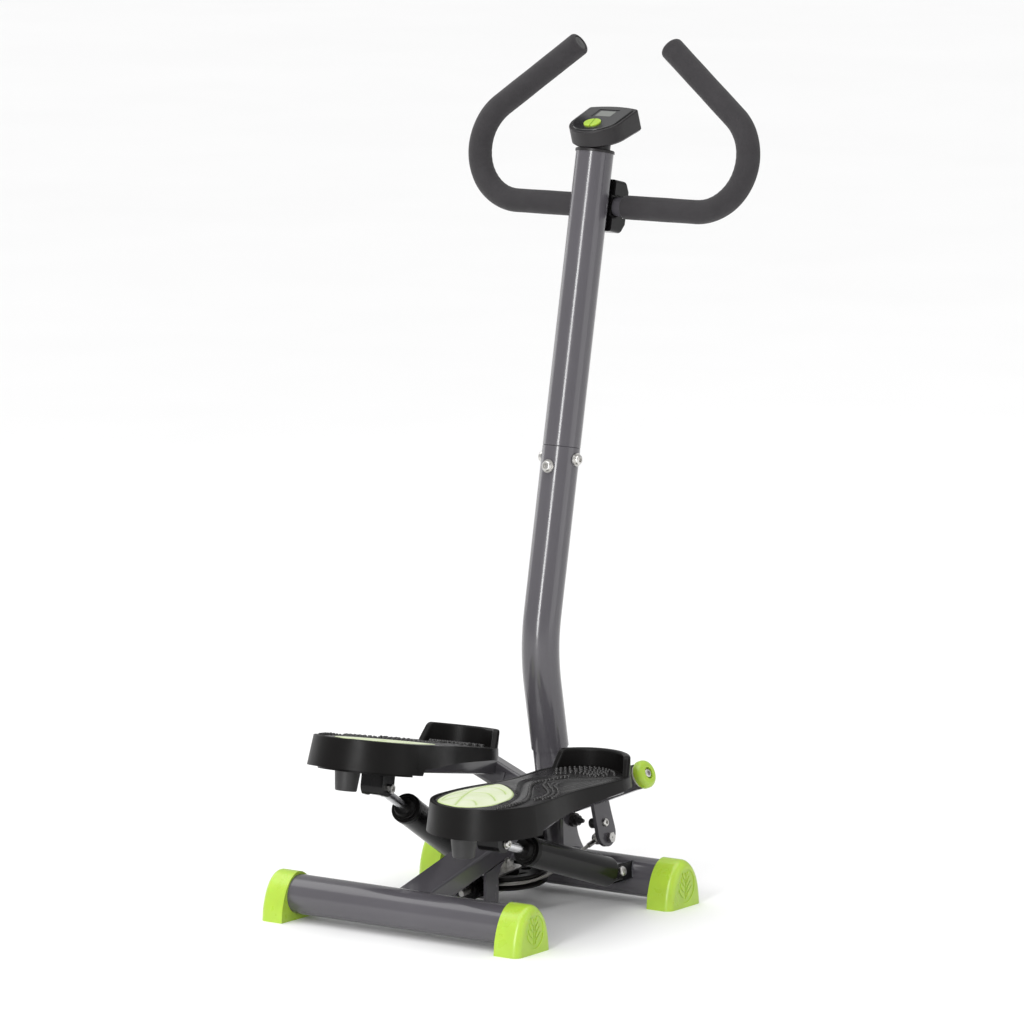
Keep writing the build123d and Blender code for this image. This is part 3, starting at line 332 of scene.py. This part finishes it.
def line_distance(x, y, path):
    """Distance from each point to a polyline, and how far along the polyline the nearest spot is."""
    best, where, walked = np.full(x.shape, 1e9), np.zeros(x.shape), 0.0
    for a, b in zip(path[:-1], path[1:]):
        step = b - a
        length = np.linalg.norm(step)
        t = np.clip(((x - a[0]) * step[0] + (y - a[1]) * step[1]) / length**2, 0, 1)
        gap = np.hypot(x - a[0] - t * step[0], y - a[1] - t * step[1])
        where = np.where(gap < best, walked + t * length, where)
        best = np.minimum(best, gap)
        walked += length
    return best, where


def inside(x, y, ring):
    hit = np.zeros(x.shape, bool)
    for a, b in zip(ring, np.roll(ring, -1, axis=0)):
        crosses = (a[1] > y) != (b[1] > y)
        with np.errstate(divide="ignore", invalid="ignore"):
            hit ^= crosses & (x < (b[0] - a[0]) * (y - a[1]) / (b[1] - a[1]) + a[0])
    return hit


def rounded(points, closed=False, steps=8):
    """Catmull-Rom curve through plan points."""
    pts = np.asarray(points, float)
    count = len(pts)
    made = []
    for i in range(count if closed else count - 1):
        p = [pts[(i + k) % count] if closed else pts[min(max(i + k, 0), count - 1)] for k in (-1, 0, 1, 2)]
        for t in np.arange(steps) / steps:
            made.append(0.5 * (2 * p[1] + (p[2] - p[0]) * t + (2 * p[0] - 5 * p[1] + 4 * p[2] - p[3]) * t**2
                               + (3 * p[1] - p[0] - 3 * p[2] + p[3]) * t**3))
    if not closed:
        made.append(pts[-1])
    return np.array(made)


def smooth(value, low, high):
    t = np.clip((value - low) / (high - low), 0, 1)
    return t * t * (3 - 2 * t)


def dip(distance, width):
    """1 on a line, falling to 0 at the given distance."""
    return 1 - smooth(distance, 0, width)


# ---- tread relief ----
PAD_RING = plan([(104, -31), (130, -10), (130, 36), (108, 81), (64, 117), (50, 88), (45, 36), (62, -15)])
PAD_EDGE = rounded(PAD_RING, True, 12)
WAVE = rounded(plan([(140, -34), (146, -8), (144, 18), (136, 42), (127, 66), (111, 94), (91, 126), (80, 148),
                     (78, 166), (84, 182), (92, 200), (84, 222)]))
RIPPLE = rounded(plan([(154, 20), (148, 40), (136, 68), (116, 100), (100, 124), (89, 146), (88, 162),
                       (94, 182), (98, 196)]))
LEAF = rounded(plan([(128, 124), (113, 146), (106, 162), (108, 178), (118, 191), (134, 205), (148, 222),
                     (154, 234), (156, 200), (155, 160), (150, 128), (140, 119)]), True)
ROW_INNER = rounded(plan([(150, -12), (154, 8), (153, 30), (149, 50), (139, 69), (126, 90), (111, 112),
                          (99, 132), (93, 148), (94, 163), (97, 180), (101, 197), (104, 212)]))
ROW_OUTER = rounded(plan([(156, 58), (155, 78), (149, 97), (136, 115), (122, 129), (110, 143), (103, 158)]))
TOE_FRONT = plan([(64, 238), (71, 254), (84, 268), (101, 274), (118, 271), (133, 262), (146, 246)])
TOE_BACK = plan([(80, 214), (84, 222), (91, 229), (101, 232), (112, 231), (122, 227), (131, 220)])
STUD_R, STUD_TALL = 0.0022, 0.0030
STUD_GAP, STUD_ROW, TOE_ROWS = 0.0064, 0.0062, 7     # along a row, between rows, rows across the toe


def recess_rows(rows):
    """For each row along the pedal: its y and the recess's inner and outer x, found on the shell itself."""
    shell = NODES["right_pedal_shell"].data
    tree = BVHTree.FromPolygons([v.co for v in shell.vertices], [p.vertices for p in shell.polygons])
    level, middle = TREAD_FLOOR + 0.0008, 0.104
    def reach(x, y, way):
        return tree.ray_cast(Vector((x, y, level)), Vector(way))[0]
    heel = reach(middle, -0.1, (0, -1, 0)).y + 0.0012
    toe = reach(middle, -0.1, (0, 1, 0)).y - 0.0012
    bend = np.linspace(0, math.pi, rows)
    made = []
    for y in heel + (toe - heel) * (0.35 * (1 - np.cos(bend)) / 2 + 0.65 * np.linspace(0, 1, rows)):
        made.append((y, reach(middle, y, (-1, 0, 0)).x + 0.0003, reach(middle, y, (1, 0, 0)).x - 0.0003))
    return np.array(made)


def tread_height(x, y):
    """Relief above the recess floor: waves, ripples, nested leaf terraces and the seat of the pad."""
    height = np.full(x.shape, 0.0013)
    pad, _ = line_distance(x, y, np.vstack([PAD_EDGE, PAD_EDGE[:1]]))
    pad = np.where(inside(x, y, PAD_EDGE), -pad, pad)
    wave, along = line_distance(x, y, WAVE)
    fade = smooth(along, 0, 0.02)
    height -= 0.0010 * dip(wave, 0.0055) * fade
    height += 0.0007 * dip(np.abs(wave - 0.0085), 0.0035) * fade
    ripple, _ = line_distance(x, y, RIPPLE)
    height += 0.0006 * dip(ripple, 0.0028)
    height -= 0.0004 * dip(np.abs(ripple - 0.0045), 0.0022)
    leaf, _ = line_distance(x, y, np.vstack([LEAF, LEAF[:1]]))
    within = inside(x, y, LEAF)
    height += np.where(within, 0.0009 * smooth(leaf, 0, 0.0022), 0)
    height -= np.where(within, 0.0008 * dip(np.abs(leaf - 0.0062), 0.0020), 0)
    height -= np.where(within, 0.0008 * dip(np.abs(leaf - 0.0125), 0.0020), 0)
    height -= np.where(within, 0, 0.0007 * dip(np.abs(leaf - 0.0042), 0.0030) * smooth(pad, 0, 0.02))
    height += 0.0006 * dip(np.abs(pad - 0.0022), 0.0022)
    return np.where(pad < 0.0004, 0.0002, np.maximum(height, 0.0002))


def tread(side):
    rows, columns = 330, 124
    lines = recess_rows(rows)
    share = np.linspace(0, 1, columns)
    y = np.repeat(lines[:, 0], columns)
    x = (lines[:, 1:2] + (lines[:, 2:3] - lines[:, 1:2]) * share).ravel()
    z = TREAD_FLOOR + tread_height(x, y)
    edge = np.zeros((rows, columns), bool)
    edge[[0, -1], :] = edge[:, [0, -1]] = True
    z[edge.ravel()] = TREAD_FLOOR + 0.0001
    verts = on_pedal(side, np.column_stack([x, y, z]))
    return piece(side + "_tread_relief", verts, facing(side, grid_faces(rows, columns)), "relief",
                 side + "_pedal", slot="tread_black")


def dome(centre, radius, tall):
    """Small stud: short wall, rounded shoulder, closed top."""
    rings = [(1.08, 0.0), (1.0, 0.25), (0.93, 0.62), (0.72, 0.9), (0.36, 1.0)]
    turn = np.linspace(0, 2 * math.pi, 14, endpoint=False)
    verts = [np.column_stack([centre[0] + radius * r * np.cos(turn), centre[1] + radius * r * np.sin(turn),
                              np.full(14, centre[2] + tall * h)]) for r, h in rings]
    faces = grid_faces(len(rings), 14, True) + [tuple((len(rings) - 1) * 14 + k for k in range(14))]
    return np.vstack(verts), faces


def spaced(path, gap, start=0.0, stop=1.0, shift=0.0):
    """Points every gap along a plan curve, moved sideways by shift."""
    steps = np.linalg.norm(np.diff(path, axis=0), axis=1)
    walked = np.concatenate([[0], np.cumsum(steps)])
    marks = np.arange(walked[-1] * start, walked[-1] * stop, gap)
    x, y = (np.interp(marks, walked, path[:, k]) for k in (0, 1))
    dx, dy = np.gradient(x), np.gradient(y)
    size = np.hypot(dx, dy)
    return list(zip(x - dy / size * shift, y + dx / size * shift))


def stud_spots():
    """Stud centres: rows along the wave, thickest at mid-foot, then crescents across the toe."""
    spots = spaced(ROW_INNER, STUD_GAP)
    for row, (start, stop) in enumerate(((0.0, 1.0), (0.07, 0.88), (0.16, 0.72))):
        spots += spaced(ROW_OUTER, STUD_GAP, start, stop, -STUD_ROW * row)
    for row in range(TOE_ROWS):
        share = row / (TOE_ROWS - 1)
        arc = TOE_FRONT * (1 - share) + TOE_BACK * share
        spots += spaced(rounded(arc), STUD_GAP, 0.02 * (row % 2), 1.0)
    kept = []
    for x, y in spots:
        if all(math.hypot(x - a, y - b) > STUD_GAP * 0.86 for a, b in kept):
            kept.append((x, y))
    return np.array(kept)


def studs(side):
    verts, faces = [], []
    spots = stud_spots()
    seats = TREAD_FLOOR + tread_height(spots[:, 0], spots[:, 1]) - 0.0003
    for (x, y), seat in zip(spots, seats):
        dots, sides = dome((x, y, seat), STUD_R, STUD_TALL)
        faces += [tuple(i + len(verts) * len(dots) for i in f) for f in sides]
        verts.append(dots)
    return piece(side + "_tread_studs", on_pedal(side, np.vstack(verts)), facing(side, faces), "stud",
                 side + "_pedal", slot="tread_black")


# ---- leaf inlay ----
VEINS = [([(95, -24), (84, 0), (74, 22), (65, 45), (59, 64), (56, 88), (57, 116)], 0.0016),
         ([(66, -10), (69, 6), (74, 22)], 0.0012),
         ([(59, 64), (54, 40), (54, 18), (62, -6)], 0.0010),
         ([(84, 0), (97, 8), (110, -2), (118, -12)], 0.0012),
         ([(65, 45), (84, 55), (104, 42), (121, 24)], 0.0013),
         ([(56, 88), (74, 92), (92, 82), (107, 66)], 0.0013)]


def heel_pad(side):
    """Crowned inlay with sunk veins and a rolled lime border."""
    ring = rounded(PAD_RING, True, 24)
    centre = ring.mean(0)
    crown = np.linspace(0.02, 0.94, 74)
    roll = 1 - 0.06 * (1 - np.sin(np.linspace(0.15, 1, 9) * math.pi / 2))
    share = np.concatenate([crown, roll])
    rows, columns = len(share), len(ring)
    flat = centre + (ring - centre) * share[:, None, None]
    x, y = flat[..., 0].ravel(), flat[..., 1].ravel()
    gap, _ = line_distance(x, y, np.vstack([ring, ring[:1]]))
    rise = 0.0021 + 0.0010 * smooth(gap, 0, 0.03) - 0.0010 * dip(gap, 0.0018)
    vein = 0.75 * dip(gap, 0.0034)
    for path, width in VEINS:
        near, _ = line_distance(x, y, rounded(plan(path)))
        rise -= 0.0007 * dip(near, width * 1.5) * smooth(gap, 0, 0.004)
        vein = np.maximum(vein, dip(near, width * 1.6))
        vein = np.maximum(vein, 0.28 * dip(near, width * 4))
    z = TREAD_FLOOR + rise
    top = np.column_stack([x, y, z])
    skirt = np.column_stack([flat[-1], np.full(columns, TREAD_FLOOR - 0.0012)])
    verts = np.vstack([top, skirt, [[*centre, top[:columns, 2].mean()]]])
    faces = grid_faces(rows + 1, columns, True)
    hub = len(verts) - 1
    faces += [(hub, (c + 1) % columns, c) for c in range(columns)]
    made = piece(side + "_leaf_pad", on_pedal(side, verts), facing(side, [tuple(reversed(f)) for f in faces]),
                 "pad_green", side + "_pedal", slot="pad_green",
                 vein=np.concatenate([vein, np.ones(columns), [0]]))
    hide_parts(side + "_heel_pad")


for side in ("right", "left"):
    tread(side)
    studs(side)
    heel_pad(side)


# ---- foam grips ----
def bar_point(s):
    """Point and direction of the handlebar's axis in its own plane, s along it from the middle."""
    arc = BAR_BEND_R * BAR_TURN
    if s < BAR_HALF:
        return (s, 0), 0.0
    if s < BAR_HALF + arc:
        a = (s - BAR_HALF) / BAR_BEND_R
        return (BAR_HALF + BAR_BEND_R * math.sin(a), BAR_BEND_R * (1 - math.cos(a))), a
    rest = s - BAR_HALF - arc
    return (BAR_HALF + BAR_BEND_R * math.sin(BAR_TURN) + rest * math.cos(BAR_TURN),
            BAR_BEND_R * (1 - math.cos(BAR_TURN)) + rest * math.sin(BAR_TURN)), BAR_TURN


def grip(side):
    """Foam sleeve: soft rolled ends, slight waviness, and faint creases inside the bend."""
    full = BAR_HALF + BAR_BEND_R * BAR_TURN + BAR_ARM
    across, up = np.array([1, 0, 0]), np.array([0, math.sin(BAR_LEAN), math.cos(BAR_LEAN)])
    out = np.cross(across, up)
    marks = np.concatenate([GRIP_START + INNER_ROLL * (1 - np.cos(np.linspace(0, math.pi / 2, 7))),
                            np.arange(GRIP_START + 0.005, full - 0.006, 0.0016),
                            full - OUTER_ROLL + OUTER_ROLL * np.sin(np.linspace(0, math.pi / 2, 9))])
    turn = np.linspace(0, 2 * math.pi, GRIP_SEGMENTS, endpoint=False)
    verts = []
    for s in marks:
        (u, v), angle = bar_point(s)
        inward = np.array([-math.sin(angle), math.cos(angle)])
        r = GRIP_R - 0.00012 - 0.00012 * (1 + math.sin(s * 90) * math.sin(s * 37 + 1))
        r -= 0.0022 * (1 - min(1, (s - GRIP_START) / INNER_ROLL)) ** 2
        r -= OUTER_ROLL * (1 - math.sqrt(1 - max(0.0, 1 - (full - s) / OUTER_ROLL) ** 2))
        bend = math.exp(-((s - BAR_HALF - BAR_BEND_R * BAR_TURN / 2) / 0.07) ** 2)
        crease = 0.0003 * bend * (0.5 + 0.5 * math.cos(2 * math.pi * s / 0.0095))
        rr = r - crease * np.clip(np.cos(turn), 0, 1) ** 2
        flat = np.array([u, v]) + np.outer(np.cos(turn) * rr, inward)
        verts.append(BAR + np.outer(flat[:, 0], across) + np.outer(flat[:, 1], up)
                     + np.outer(np.sin(turn) * rr, out))

    def ring_at(s, r):
        (u, v), angle = bar_point(s)
        flat = np.array([u, v]) + np.outer(np.cos(turn) * r, [-math.sin(angle), math.cos(angle)])
        return (BAR + np.outer(flat[:, 0], across) + np.outer(flat[:, 1], up)
                + np.outer(np.sin(turn) * r, out))

    verts.append(ring_at(full - 0.0016, 0.0098))
    plug = [ring_at(full - back, r) for back, r in
            ((0.0022, 0.0100), (0.0010, 0.0097), (0.0006, 0.0088), (0.0009, 0.0075), (0.0004, 0.0040))]
    rows, last = len(verts), (len(verts) - 1) * GRIP_SEGMENTS
    (u, v), _ = bar_point(full - 0.0016)
    hub = BAR + u * across + v * up
    verts = np.vstack(verts + [[hub]])
    after = [(c + 1) % GRIP_SEGMENTS for c in range(GRIP_SEGMENTS)]
    faces = grid_faces(rows, GRIP_SEGMENTS, True)
    faces += [(last + after[c], last + c, len(verts) - 1) for c in range(GRIP_SEGMENTS)]
    (u, v), _ = bar_point(GRIP_START)
    bore = (BAR + u * across + v * up + np.outer(np.cos(turn) * GRIP_BORE, up)
            + np.outer(np.sin(turn) * GRIP_BORE, out))
    start = len(verts)
    verts = np.vstack([verts, bore])
    faces += [(c, start + c, start + after[c], after[c]) for c in range(GRIP_SEGMENTS)]
    crown = tuple((len(plug) - 1) * GRIP_SEGMENTS + c for c in range(GRIP_SEGMENTS))
    cap_faces = grid_faces(len(plug), GRIP_SEGMENTS, True) + [crown]
    mirror = np.array([1 if side == "right" else -1, 1, 1])
    piece(side + "_grip_plug", np.vstack(plug) * mirror, facing(side, cap_faces), "plug", "frame",
          slot="rubber_black")
    made = piece(side + "_foam_grip", verts * mirror, facing(side, faces), "foam_grip", "frame",
                 slot="foam_grip")
    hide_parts("grip_" + side)


grip("right")
grip("left")


# ---- wire rope ----
def rope_line():
    """The cable's smooth line: a NURBS spline over the same points as the CAD route."""
    forward = np.array([0, math.cos(PULLEY_TILT), math.sin(PULLEY_TILT)])
    side = np.array([1.0, 0, 0])
    angles = [math.radians(180 + 18 * k) for k in range(11)]
    half = [PULLEY + ROUTE_R * (math.cos(a) * side + math.sin(a) * forward) for a in angles]
    left_pin = on_pedal("left", LEVER_PIN[None, :])[0]
    leave, join = half[-1] + forward * 0.024, half[0] + forward * 0.024
    ends = [pin + (near - pin) / np.linalg.norm(near - pin) * FERRULE
            for pin, near in ((left_pin, join), (LEVER_PIN, leave))]
    points = [ends[0], (ends[0] + join) / 2, join, *half, leave, (ends[1] + leave) / 2, ends[1]]
    curve = bpy.data.curves.new("rope_line", "CURVE")
    curve.dimensions = "3D"
    spline = curve.splines.new("NURBS")
    spline.points.add(len(points) - 1)
    for spot, point in zip(spline.points, points):
        spot.co = (*point, 1)
    spline.order_u = 3
    spline.use_endpoint_u = True
    spline.resolution_u = 12
    holder = bpy.data.objects.new("rope_line", curve)
    bpy.context.scene.collection.objects.link(holder)
    line = np.array([v.co for v in bpy.data.meshes.new_from_object(holder).vertices])
    bpy.data.objects.remove(holder)
    return line, join, leave, ends


def rope():
    """Six twisted strands in two halves that meet on the pulley; each half runs to a lever at its end."""
    line, join, leave, ends = rope_line()
    steps = np.linalg.norm(np.diff(line, axis=0), axis=1)
    walked = np.concatenate([[0], np.cumsum(steps)])
    marks = np.arange(0, walked[-1], 0.0012)
    path = np.column_stack([np.interp(marks, walked, line[:, k]) for k in range(3)])
    along = np.gradient(path, axis=0)
    along /= np.linalg.norm(along, axis=1)[:, None]
    flat = np.cross(along, [0, 0, 1.0])
    flat /= np.linalg.norm(flat, axis=1)[:, None]
    other = np.cross(along, flat)
    middle = int(np.argmin(np.abs(path[:, 0]) + (path[:, 1] > PULLEY[1]) * 1.0))
    ring = np.linspace(0, 2 * math.pi, 8, endpoint=False)
    for side, part in (("left", slice(0, middle + 1)), ("right", slice(middle, len(path)))):
        p, u, w, s = path[part], flat[part], other[part], marks[part]
        verts, faces = [], []
        for strand in range(6):
            twist = 2 * math.pi * (s / LAY_LENGTH + strand / 6)
            lay = p + STRAND_OUT * (np.cos(twist)[:, None] * u + np.sin(twist)[:, None] * w)
            base = sum(len(v) for v in verts)
            tube = lay[:, None, :] + STRAND_R * (np.cos(ring)[None, :, None] * u[:, None, :]
                                                 + np.sin(ring)[None, :, None] * w[:, None, :])
            verts.append(tube.reshape(-1, 3))
            faces += [tuple(base + i for i in f) for f in grid_faces(len(p), 8, True)]
        made = piece(side + "_wire_rope", np.vstack(verts), faces, "cable_steel", None, slot="cable_steel")
        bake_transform(made)
        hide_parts("cable")


rope()


# ---- weld beads ----
def bead(name, path, radius, closed=False):
    """Weld bead with the ripples of a hand-run pass."""
    path = np.asarray(path, float)
    steps = np.linalg.norm(np.diff(path, axis=0), axis=1)
    walked = np.concatenate([[0], np.cumsum(steps)])
    marks = np.arange(0, walked[-1], 0.0006)
    line = np.column_stack([np.interp(marks, walked, path[:, k]) for k in range(3)])
    along = np.gradient(line, axis=0)
    along /= np.linalg.norm(along, axis=1)[:, None]
    side = np.cross(along, [0.31, 0.12, 0.94])       # any direction that no bead runs along
    side /= np.linalg.norm(side, axis=1)[:, None]
    other = np.cross(along, side)
    swell = radius * (0.86 + 0.14 * np.abs(np.sin(marks * math.pi / 0.0026)) + 0.06 * np.sin(marks * 210))
    swell[[0, -1]] *= 1.0 if closed else 0.35
    ring = np.linspace(0, 2 * math.pi, 10, endpoint=False)
    verts = (line[:, None, :] + swell[:, None, None] * (np.cos(ring)[None, :, None] * side[:, None, :]
                                                        + np.sin(ring)[None, :, None] * other[:, None, :]))
    faces = grid_faces(len(line), 10, True)
    ends = [tuple(range(10))[::-1], tuple((len(line) - 1) * 10 + k for k in range(10))]
    piece(name, verts.reshape(-1, 3), faces + ends, "weld", "frame", slot="frame_grey")


def thrown(section, way, node):
    """Where lines from the section's points along way first meet a CAD node."""
    mesh = NODES[node].data
    tree = BVHTree.FromPolygons([v.co for v in mesh.vertices], [p.vertices for p in mesh.polygons])
    hits = [tree.ray_cast(Vector(point), Vector(way))[0] for point in section]
    return [tuple(hit) for hit in hits if hit]


def box_section(middle, across, up, width, height, count=72):
    """Points round a rounded rectangle in the plane of across and up."""
    made = []
    for a in np.linspace(0, 2 * math.pi, count + 1):
        c, s = math.cos(a), math.sin(a)
        u = math.copysign(abs(c) ** 0.22, c) * width / 2
        v = math.copysign(abs(s) ** 0.22, s) * height / 2
        made.append(np.asarray(middle) + u * np.asarray(across) + v * np.asarray(up))
    return made


def welds():
    """Beads where the beam, the cheeks and the cylinder brackets meet the floor tubes."""
    way = np.array([0, -math.cos(BEAM_RISE), -math.sin(BEAM_RISE)])
    normal = np.array([0, -math.sin(BEAM_RISE), math.cos(BEAM_RISE)])
    middle = np.array([0, -DEPTH_MIDDLE, TUBE_Z + 0.0142]) - way * 0.07 - normal * 0.0125
    bead("beam_weld", thrown(box_section(middle, (1, 0, 0), normal, 0.051, 0.026), way, "rear_floor_tube"),
         0.0019, True)
    for side, sign in (("right", 1), ("left", -1)):
        turn = np.radians(np.linspace(14, 166, 40))
        cheek = [(sign * 0.0275, FRONT_Y + TUBE_R * math.cos(a), TUBE_Z + TUBE_R * math.sin(a)) for a in turn]
        bead(side + "_cheek_weld", cheek, 0.0017)
        across = (sign * math.cos(PIVOT_RISE), 0, math.sin(PIVOT_RISE))
        up = (-sign * math.sin(PIVOT_RISE), 0, math.cos(PIVOT_RISE))
        start = np.array([sign * ANCHOR_X, ANCHOR_Y + 0.004, ANCHOR_Z]) - 0.001 * np.array(up)
        spots = thrown(box_section(start, across, up, 0.024, 0.021), (0, 1, 0), "front_floor_tube")
        bead(side + "_bracket_weld", spots, 0.0014, True)


welds()


# ---- display screen in the console ----
def console_place(x, y, z):
    """A spot on the console, millimetres in its own plane, as row-frame metres."""
    c, s = math.cos(CONSOLE_TILT), math.sin(CONSOLE_TILT)
    return CONSOLE + np.array([x, y * c - z * s, y * s + z * c]) * MM


def screen():
    """Blank display with rounded corners, in millimetres on the console."""
    width, depth, middle, corner = 23.0, 15.5, 17.5, 1.2
    ring = []
    for cx, cy, start in ((1, 1, 0), (-1, 1, 90), (-1, -1, 180), (1, -1, 270)):
        for a in np.radians(np.linspace(start, start + 90, 7)):
            ring.append((cx * (width / 2 - corner) + corner * math.cos(a),
                         middle + cy * (depth / 2 - corner) + corner * math.sin(a)))
    top = [console_place(x, y, 1.0) for x, y in ring]
    foot = [console_place(x, y, 0.6) for x, y in ring]
    count = len(ring)
    faces = [tuple(range(count))] + [(k, count + k, count + (k + 1) % count, (k + 1) % count)
                                     for k in range(count)]
    piece("display_screen", top + foot, faces, "screen", "frame", slot="lcd_glass")


screen()


# ---- studio ----
def studio_material(name, colour, rough):
    m = Shader(name, colour, rough)
    m.paint(m.tint(0.6, 0.01))
    m.gloss(m.ramp(m.noise(3, 3), rough - 0.03, rough + 0.03))
    return m.mat


floor_mesh = bpy.data.meshes.new("studio_floor")
floor_r, floor_sides = 40, 96
disc = [(floor_r * math.cos(a), floor_r * math.sin(a), 0)
        for a in np.linspace(0, 2 * math.pi, floor_sides, endpoint=False)]
floor_mesh.from_pydata(disc, [], [tuple(range(floor_sides))])
floor_mesh.materials.append(studio_material("pale_floor", (0.90, 0.90, 0.90), 0.6))
floor = bpy.data.objects.new("studio_floor", floor_mesh)
bpy.context.scene.collection.objects.link(floor)

world = bpy.data.worlds.new("studio")
world.use_nodes = True
world.node_tree.nodes["Background"].inputs["Color"].default_value = (1, 1, 1, 1)
world.node_tree.nodes["Background"].inputs["Strength"].default_value = 0.55
bpy.context.scene.world = world
bpy.context.scene.view_settings.view_transform = "Standard"


def lamp(kind, name, place, aim, **settings):
    light = bpy.data.lights.new(name, kind)
    for key, value in settings.items():
        setattr(light, key, value)
    holder = bpy.data.objects.new(name, light)
    holder.location = place
    holder.rotation_mode = "QUATERNION"
    holder.rotation_quaternion = (Vector(aim) - Vector(place)).to_track_quat("-Z", "Y")
    bpy.context.scene.collection.objects.link(holder)


lamp("SUN", "overhead", (-0.6, -0.8, 4.0), (0, 0, 0), energy=1.9, angle=math.radians(70))
lamp("AREA", "strip", (0.84, -3.9, 1.55), (0, 0.1, 0.7), shape="RECTANGLE", size=0.7, size_y=2.7, energy=88)
lamp("AREA", "side", (3.6, 0.6, 1.3), (0, 0.1, 0.5), shape="RECTANGLE", size=2.2, size_y=2.6, energy=16)
lamp("AREA", "rim", (-3.2, 0.4, 1.6), (0, 0.1, 0.5), shape="RECTANGLE", size=1.6, size_y=2.6, energy=16)

camera_data = bpy.data.cameras.new("camera")
camera_data.lens, camera_data.sensor_width = 216.5, 36.0
camera_data.clip_start, camera_data.clip_end = 0.1, 100
camera = bpy.data.objects.new("camera", camera_data)
camera.location = (4.37434, -6.00115 - DEPTH_MIDDLE, 1.61539)
camera.rotation_euler = (math.radians(81.651), 0, math.radians(35.063))
bpy.context.scene.collection.objects.link(camera)
bpy.context.scene.camera = camera

bpy.context.view_layer.update()
